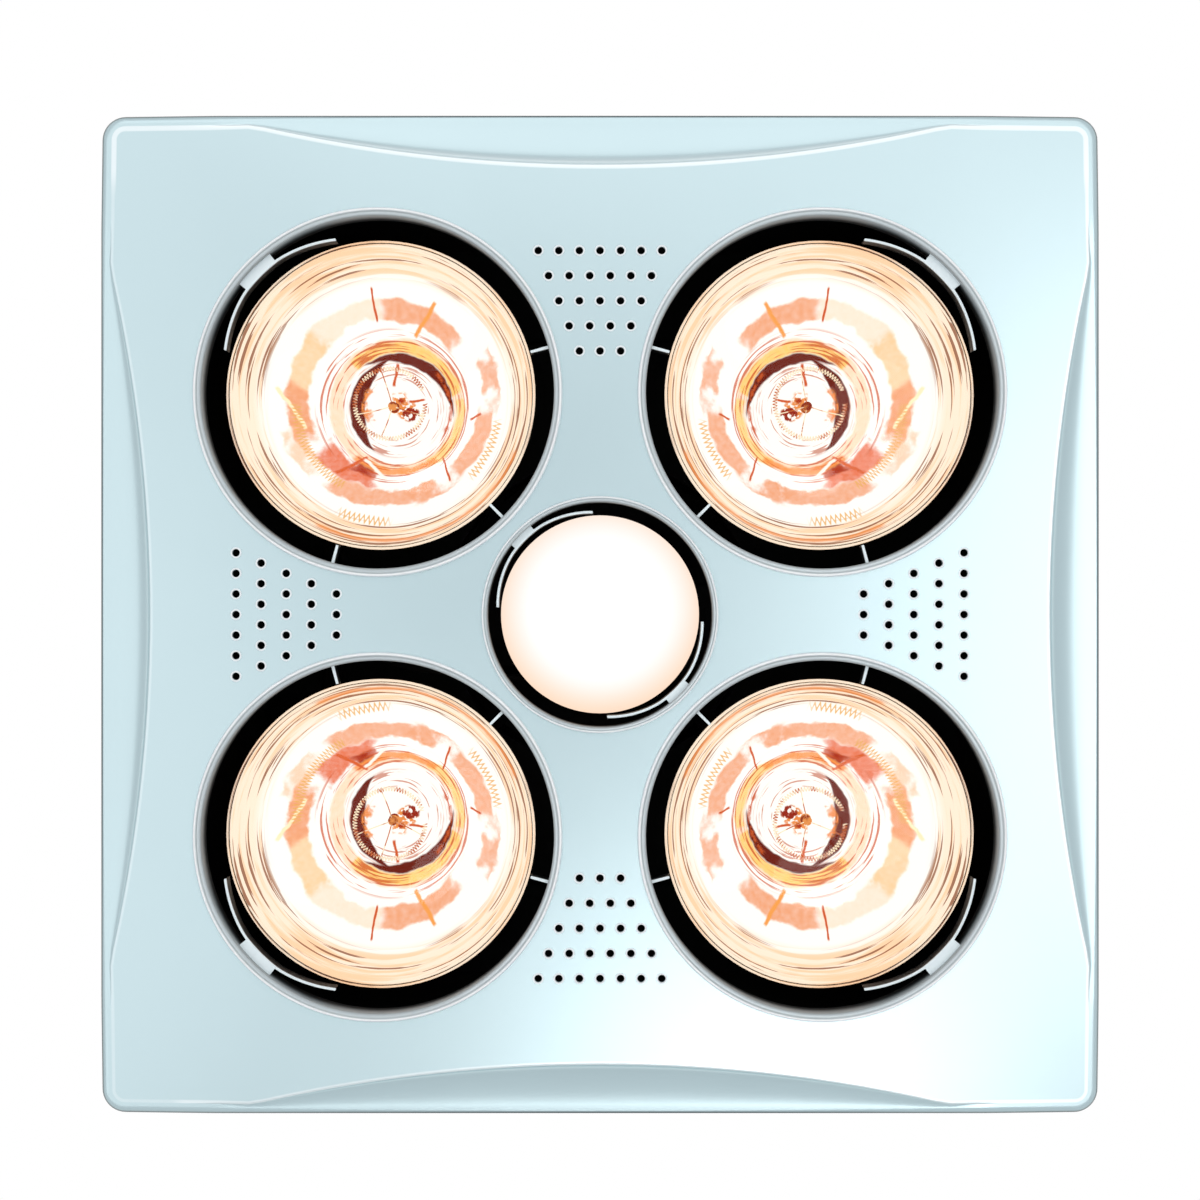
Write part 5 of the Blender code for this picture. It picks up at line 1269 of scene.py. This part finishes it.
class FixingSizes(bpy.types.PropertyGroup):
    """Screws, rivets, and the duct spigot's bead, seam and damper seat."""

    washer: length("Washer face", 0.0086, "Diameter of a screw's washer face")
    hexagon: length("Hexagon", 0.0055, "Across a screw head's flats")
    head_height: length("Head height", 0.0030, "From the sheet to the top of a screw's head")
    rivet: length("Rivet", 0.0056, "Diameter of a rivet's head")
    rivet_height: length("Rivet height", 0.0011, "From the sheet to the top of a rivet")
    flange_pitch: length("Screw circle", 0.081, "Radius of the circle of screws on the duct flange")
    corner_inset: length("Corner inset", 0.009, "From the case's corner to its rivets")
    bead: length("Duct bead", 0.0012, "How far the rolled bead stands off the duct spigot")
    bead_half: length("Half bead", 0.0022, "Half the bead's height")
    bead_drop: length("Bead place", 0.012, "From the spigot's rim down to its bead")
    seam: length("Seam", 0.014, "Width of the spigot's lap seam")
    seam_sheet: length("Seam sheet", 0.0007, "Thickness of the lap on the spigot")
    seat: length("Damper seat", 0.0017, "Width of the ring in the duct under the damper's flaps")
    seat_bar: length("Seat bar", 0.0090, "Width of the bar under the flaps' hinge")
    seat_sheet: length("Seat sheet", 0.0012, "Thickness of the damper's seat")
    seat_drop: length("Seat place", 0.0006, "From the hinge's knuckles down to the damper's seat")


class HEATER_OT_fixings(bpy.types.Operator):
    """Build the screws and rivets of the case and the duct spigot"""

    bl_idname = "heater.fixings"
    bl_label = "Screws and rivets"

    def execute(self, context):
        sizes = context.scene.fixing_sizes
        steel = plain_metal("zinc_plated_screws", (0.60, 0.60, 0.58), 0.30)
        bright = plain_metal("rivet_aluminium", (0.72, 0.73, 0.75), 0.32)
        bm = bmesh.new()
        for k in range(FLANGE_SCREWS):
            turn = turn_about_z(360 / FLANGE_SCREWS * (k + 0.5))
            place = turn @ Vector((sizes.flange_pitch, 0, SPIGOT_LOW.z + SPIGOT_FLANGE))
            add_hex_screw(bm, sizes, Matrix.Translation(place) @ turn_about_z(SCREW_TURN * k))
        soften(bm, *HEAD_BEVEL)
        finish_piece("flange_screws", bm, "case", [steel])

        bm = bmesh.new()
        low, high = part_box("terminal_cover")
        inset = sizes.corner_inset
        for x, y in ((low.x + inset, low.y + inset), (high.x - inset, high.y - inset)):
            add_hex_screw(bm, sizes, Matrix.Translation((x, y, high.z)))
        soften(bm, *HEAD_BEVEL)
        finish_piece("cover_screws", bm, "case", [steel])

        bm = bmesh.new()
        for side in (-1, 1):
            for across in (-1, 1):
                for share in CORNER_RIVETS:
                    place = (side * CASE_HALF, across * (CASE_HALF - inset), CASE_TOP * share)
                    add_rivet(bm, sizes, Matrix.Translation(place) @ aim((side, 0, 0)))
        for share in SEAM_RIVETS:
            rise = SPIGOT_LOW.z + (SPIGOT_HIGH.z - SPIGOT_LOW.z) * share
            place = Matrix.Translation((0, SPIGOT_RADIUS + sizes.seam_sheet, rise))
            add_rivet(bm, sizes, place @ aim((0, 1, 0)))
        finish_piece("rivets", bm, "case", [bright])
        return {"FINISHED"}


class HEATER_OT_duct(bpy.types.Operator):
    """Build the duct spigot's rolled bead and lap seam, and the damper's seat"""

    bl_idname = "heater.duct"
    bl_label = "Duct bead, seam and damper seat"

    def execute(self, context):
        sizes = context.scene.fixing_sizes
        sheet = galvanised("spigot_zinc", tuple(context.scene.heater_colours.zinc))
        black = plain_mould("seat_coating", SATIN_BLACK, 0.6, 0.15)

        bm = bmesh.new()
        middle, tall = SPIGOT_HIGH.z - sizes.bead_drop, sizes.bead_half
        profile = []
        for k in range(BEAD_STEPS + 1):
            angle = math.pi * k / BEAD_STEPS
            profile.append((SPIGOT_RADIUS + sizes.bead * math.sin(angle), middle - tall * math.cos(angle)))
        profile += [(SPIGOT_RADIUS - 2 * GAP, middle + tall), (SPIGOT_RADIUS - 2 * GAP, middle - tall)]
        turned(bm, profile, DUCT_STEPS, closed=True)
        finish_piece("duct_bead", bm, "case", [sheet], sharp=60)

        bm = bmesh.new()
        half = sizes.seam / 2 / SPIGOT_RADIUS
        inner, outer = SPIGOT_RADIUS - SEAM_SINK, SPIGOT_RADIUS + sizes.seam_sheet
        arc = [half * (2 * k / SEAM_STEPS - 1) for k in range(SEAM_STEPS + 1)]
        outline = [(outer * math.sin(a), outer * math.cos(a)) for a in arc]
        outline += [(inner * math.sin(a), inner * math.cos(a)) for a in reversed(arc)]
        extruded(bm, outline, SPIGOT_LOW.z + SPIGOT_FLANGE, SPIGOT_HIGH.z - SEAM_SINK)
        soften(bm, *SEAM_BEVEL)
        finish_piece("duct_seam", bm, "case", [sheet])

        bm = bmesh.new()
        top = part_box("flap_left")[0].z - sizes.seat_drop
        foot, outer, inner = top - sizes.seat_sheet, DUCT_BORE + GAP / 2, DUCT_BORE - sizes.seat
        turned(bm, [(inner, foot), (outer, foot), (outer, top), (inner, top)], SEAT_STEPS, closed=True)
        half, reach = sizes.seat_bar / 2, (inner + outer) / 2
        outline = ((-half, -reach), (half, -reach), (half, reach), (-half, reach))
        extruded(bm, outline, foot + GAP / 2, top - GAP / 2)
        soften(bm, *SEAT_BEVEL)
        finish_piece("damper_seat", bm, "case", [black])
        return {"FINISHED"}


GLAND_STEPS = 48
GLAND_RIDGES = 24
NUT_GRIPS = 6
# A grip of the dome nut, in shares of the nut's radius
GRIP_SHARES = ((0.9, -0.12), (1.12, -0.08), (1.12, 0.08), (0.9, 0.12))


class HEATER_OT_gland(bpy.types.Operator):
    """Build the cable gland with its grip ring and dome nut, in shares of the CAD gland's sizes"""

    bl_idname = "heater.gland"
    bl_label = "Cable gland"

    def execute(self, context):
        nylon = plain_mould("gland_nylon", (0.02, 0.02, 0.022), 0.42)
        low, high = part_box("cable_gland")
        radius, middle = (high.z - low.z) / 2, (high.z + low.z) / 2
        wall_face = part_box("terminal_box")[0].x
        place = Matrix.Translation((low.x, 0, middle)) @ aim((1, 0, 0))
        run, bore, body, thread = wall_face - low.x, radius * 0.4, radius * 0.8, radius * 0.6
        ring, deep = run * 0.8, high.x - low.x
        bm = bmesh.new()
        profile = [(bore, deep), (bore, run * 0.06), (bore * 1.12, 0.0), (body * 0.72, 0.0)]
        for sine, cosine in bends(5):
            profile.append((body * (0.72 + 0.28 * sine), run * 0.2 * (1 - cosine)))
        profile += [(body, run * 0.56), (body * 0.93, run * 0.58), (body * 0.93, run * 0.62), (body, run * 0.64)]
        profile += [(body, ring), (thread, ring), (thread, deep)]
        turned(bm, profile, GLAND_STEPS, place, closed=True)
        outline = []
        for k in range(4 * GLAND_RIDGES):
            angle = math.tau * k / (4 * GLAND_RIDGES)
            out = radius * (1 if k % 4 < 2 else 0.93)
            outline.append((out * math.cos(angle), out * math.sin(angle)))
        extruded(bm, outline, ring - run * 0.02, run - GAP, place)
        grip = [(body * out, body * across) for out, across in GRIP_SHARES]
        for k in range(NUT_GRIPS):
            extruded(bm, grip, run * 0.2, run * 0.54, place @ turn_about_z(360 / NUT_GRIPS * k))
        soften(bm, *GLAND_BEVEL)
        finish_piece("gland", bm, "case", [nylon], ["cable_gland"], sharp=40)
        return {"FINISHED"}


BAR_STEPS = 24
# Places on a lug's round top, in radians
LUG_ANGLES = (0.4, 0.8, 1.2, 1.57, 1.94, 2.34, 2.74)
UPRIGHT = Matrix.Rotation(math.pi / 2, 4, "X")


class HEATER_OT_hanger_bars(bpy.types.Operator):
    """Build the bars and lugs on the fascia's back that its hanger springs hook on"""

    bl_idname = "heater.hanger_bars"
    bl_label = "Hanger bars"

    def execute(self, context):
        sizes = context.scene.fascia_sizes
        plastic = silver_plastic("hanger_bar_plastic", tuple(context.scene.heater_colours.fascia))
        back = -sizes.depth + sizes.wall
        radius, lug = sizes.hanger_bar / 2, sizes.hanger_lug
        rise = back + sizes.hanger_stand
        bm = bmesh.new()
        for node in ("hanger_spring_left", "hanger_spring_right"):
            low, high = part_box(node)
            x, half = math.copysign(sizes.hanger_place, low.x + high.x), (high.y - low.y) / 2 + GAP
            place = Matrix.Translation((x, 0, rise)) @ aim((0, 1, 0))
            turned(bm, [(0, -half), (radius, -half), (radius, half), (0, half)], BAR_STEPS, place)
            web = radius + lug / 2
            outline = [(x - web * 1.25, back), (x + web * 1.25, back), (x + web, rise)]
            outline += [(x + web * math.cos(a), rise + web * math.sin(a)) for a in LUG_ANGLES]
            outline.append((x - web, rise))
            for near in (half, -half - lug):
                extruded(bm, outline, -near - lug, -near, UPRIGHT)
        soften(bm, *LUG_BEVEL)
        finish_piece("hanger_bars", bm, "fascia", [plastic], sharp=45)
        return {"FINISHED"}


# The camera: from the plateau to it, the width of its view there, its sensor, its shift and how far it sees
CAMERA_DISTANCE = 1.2
FIELD = 0.478
SENSOR = 0.036
FRAME_SHIFT = 0.0058
CLIP_END = 50
FLOOR_HEIGHT = -2.4
FLOOR_SIZE = 60
FLOOR_PAINT = (0.86, 0.87, 0.88)
# How much paler the floor looks to the camera alone
FLOOR_LIFT = (0.40, 0.40, 0.40)
ROOM_LIGHT = (0.57, 0.585, 0.605)
LIGHT_TARGET = Vector((0, 0, 0.02))
# Round lights: name, place, width and power
LIGHTS = (
    ("key", (0.0, -0.84, -1.2), 1.3, 3.5),
    ("left", (-0.75, 0.1, -1.2), 1.2, 2.5),
    ("right", (0.55, 0.0, -1.3), 0.72, 2.6),
    ("low", (0.14, 0.41, -1.3), 0.38, 1.25),
)


class HEATER_OT_stage(bpy.types.Operator):
    """Set the camera, the lights, the world and the floor"""

    bl_idname = "heater.stage"
    bl_label = "Stage"

    def execute(self, context):
        scene = context.scene
        plateau = -scene.fascia_sizes.depth
        camera = bpy.data.cameras.new("camera")
        camera.lens = SENSOR * 1000 * CAMERA_DISTANCE / FIELD
        camera.clip_end = CLIP_END
        eye = bpy.data.objects.new("camera", camera)
        eye.location = (0, -FRAME_SHIFT, plateau - CAMERA_DISTANCE)
        eye.rotation_euler = (math.pi, 0, 0)
        scene.collection.objects.link(eye)
        scene.camera = eye
        scene.view_settings.view_transform = "Standard"
        for light in LIGHTS:
            self.add_light(*light)
        self.add_floor(scene)
        self.add_world(scene)
        return {"FINISHED"}

    def add_light(self, name, place, size, power):
        light = bpy.data.lights.new(name, "AREA")
        light.shape = "DISK"
        light.size = size
        light.energy = power
        lamp = bpy.data.objects.new(name, light)
        lamp.location = place
        lamp.rotation_euler = (LIGHT_TARGET - Vector(place)).to_track_quat("-Z", "Y").to_euler()
        lamp.visible_camera = False
        bpy.context.scene.collection.objects.link(lamp)

    def add_floor(self, scene):
        bm = bmesh.new()
        bmesh.ops.create_grid(bm, x_segments=2, y_segments=2, size=FLOOR_SIZE / 2)
        bmesh.ops.translate(bm, verts=bm.verts, vec=(0, 0, FLOOR_HEIGHT))
        mesh = bpy.data.meshes.new("floor")
        bm.to_mesh(mesh)
        bm.free()
        paint = Paint("floor_paint", base_color=FLOOR_PAINT, roughness=0.8, emission_strength=1.0)
        seen = paint.node("ShaderNodeLightPath", {}, {})[0]
        paint.set("Emission Color", paint.mix(seen, (0, 0, 0), FLOOR_LIFT))
        mesh.materials.append(paint.material)
        floor = bpy.data.objects.new("floor", mesh)
        scene.collection.objects.link(floor)

    def add_world(self, scene):
        """A soft grey room that looks white to the camera and in gloss and glass."""
        world = bpy.data.worlds.new("room")
        world.use_nodes = True
        scene.world = world
        room = Nodes(world.node_tree)
        path = {wire.socket.name: wire for wire in room.node("ShaderNodeLightPath", {}, {})}
        seen = path["Is Camera Ray"]
        for kind in ("Is Glossy Ray", "Is Transmission Ray"):
            seen = seen.math("MAXIMUM", path[kind])
        sky = room.tree.nodes["Background"].inputs
        room.feed(sky["Color"], room.mix(seen, ROOM_LIGHT, WHITE))
        room.feed(sky["Strength"], 1.0)


OPERATORS = (
    HEATER_OT_stage,
    HEATER_OT_fascia,
    HEATER_OT_openings,
    HEATER_OT_heat_lamps,
    HEATER_OT_light,
    HEATER_OT_hanger_bars,
    HEATER_OT_fixings,
    HEATER_OT_duct,
    HEATER_OT_gland,
    HEATER_OT_finishes,
)
GROUPS = {
    "fascia_sizes": FasciaSizes,
    "vent_sizes": VentSizes,
    "fixing_sizes": FixingSizes,
    "heater_colours": Colours,
}


class HEATER_PT_panel(bpy.types.Panel):
    """The heater's pieces"""

    bl_label = "Ceiling heater"
    bl_idname = "HEATER_PT_panel"
    bl_space_type = "VIEW_3D"
    bl_region_type = "UI"
    bl_category = "Heater"

    def draw(self, context):
        for operator in OPERATORS:
            self.layout.operator(operator.bl_idname)
        for name, group in GROUPS.items():
            box = self.layout.box()
            for key in group.__annotations__:
                box.prop(getattr(context.scene, name), key)


CLASSES = (*GROUPS.values(), *OPERATORS, HEATER_PT_panel)


def register():
    for cls in CLASSES:
        bpy.utils.register_class(cls)
    for name, group in GROUPS.items():
        setattr(bpy.types.Scene, name, bpy.props.PointerProperty(type=group))


def unregister():
    for name in GROUPS:
        delattr(bpy.types.Scene, name)
    for cls in reversed(CLASSES):
        bpy.utils.unregister_class(cls)


def main():
    register()
    for operator in OPERATORS:
        group, name = operator.bl_idname.split(".")
        getattr(getattr(bpy.ops, group), name)()


if __name__ == "__main__":
    main()
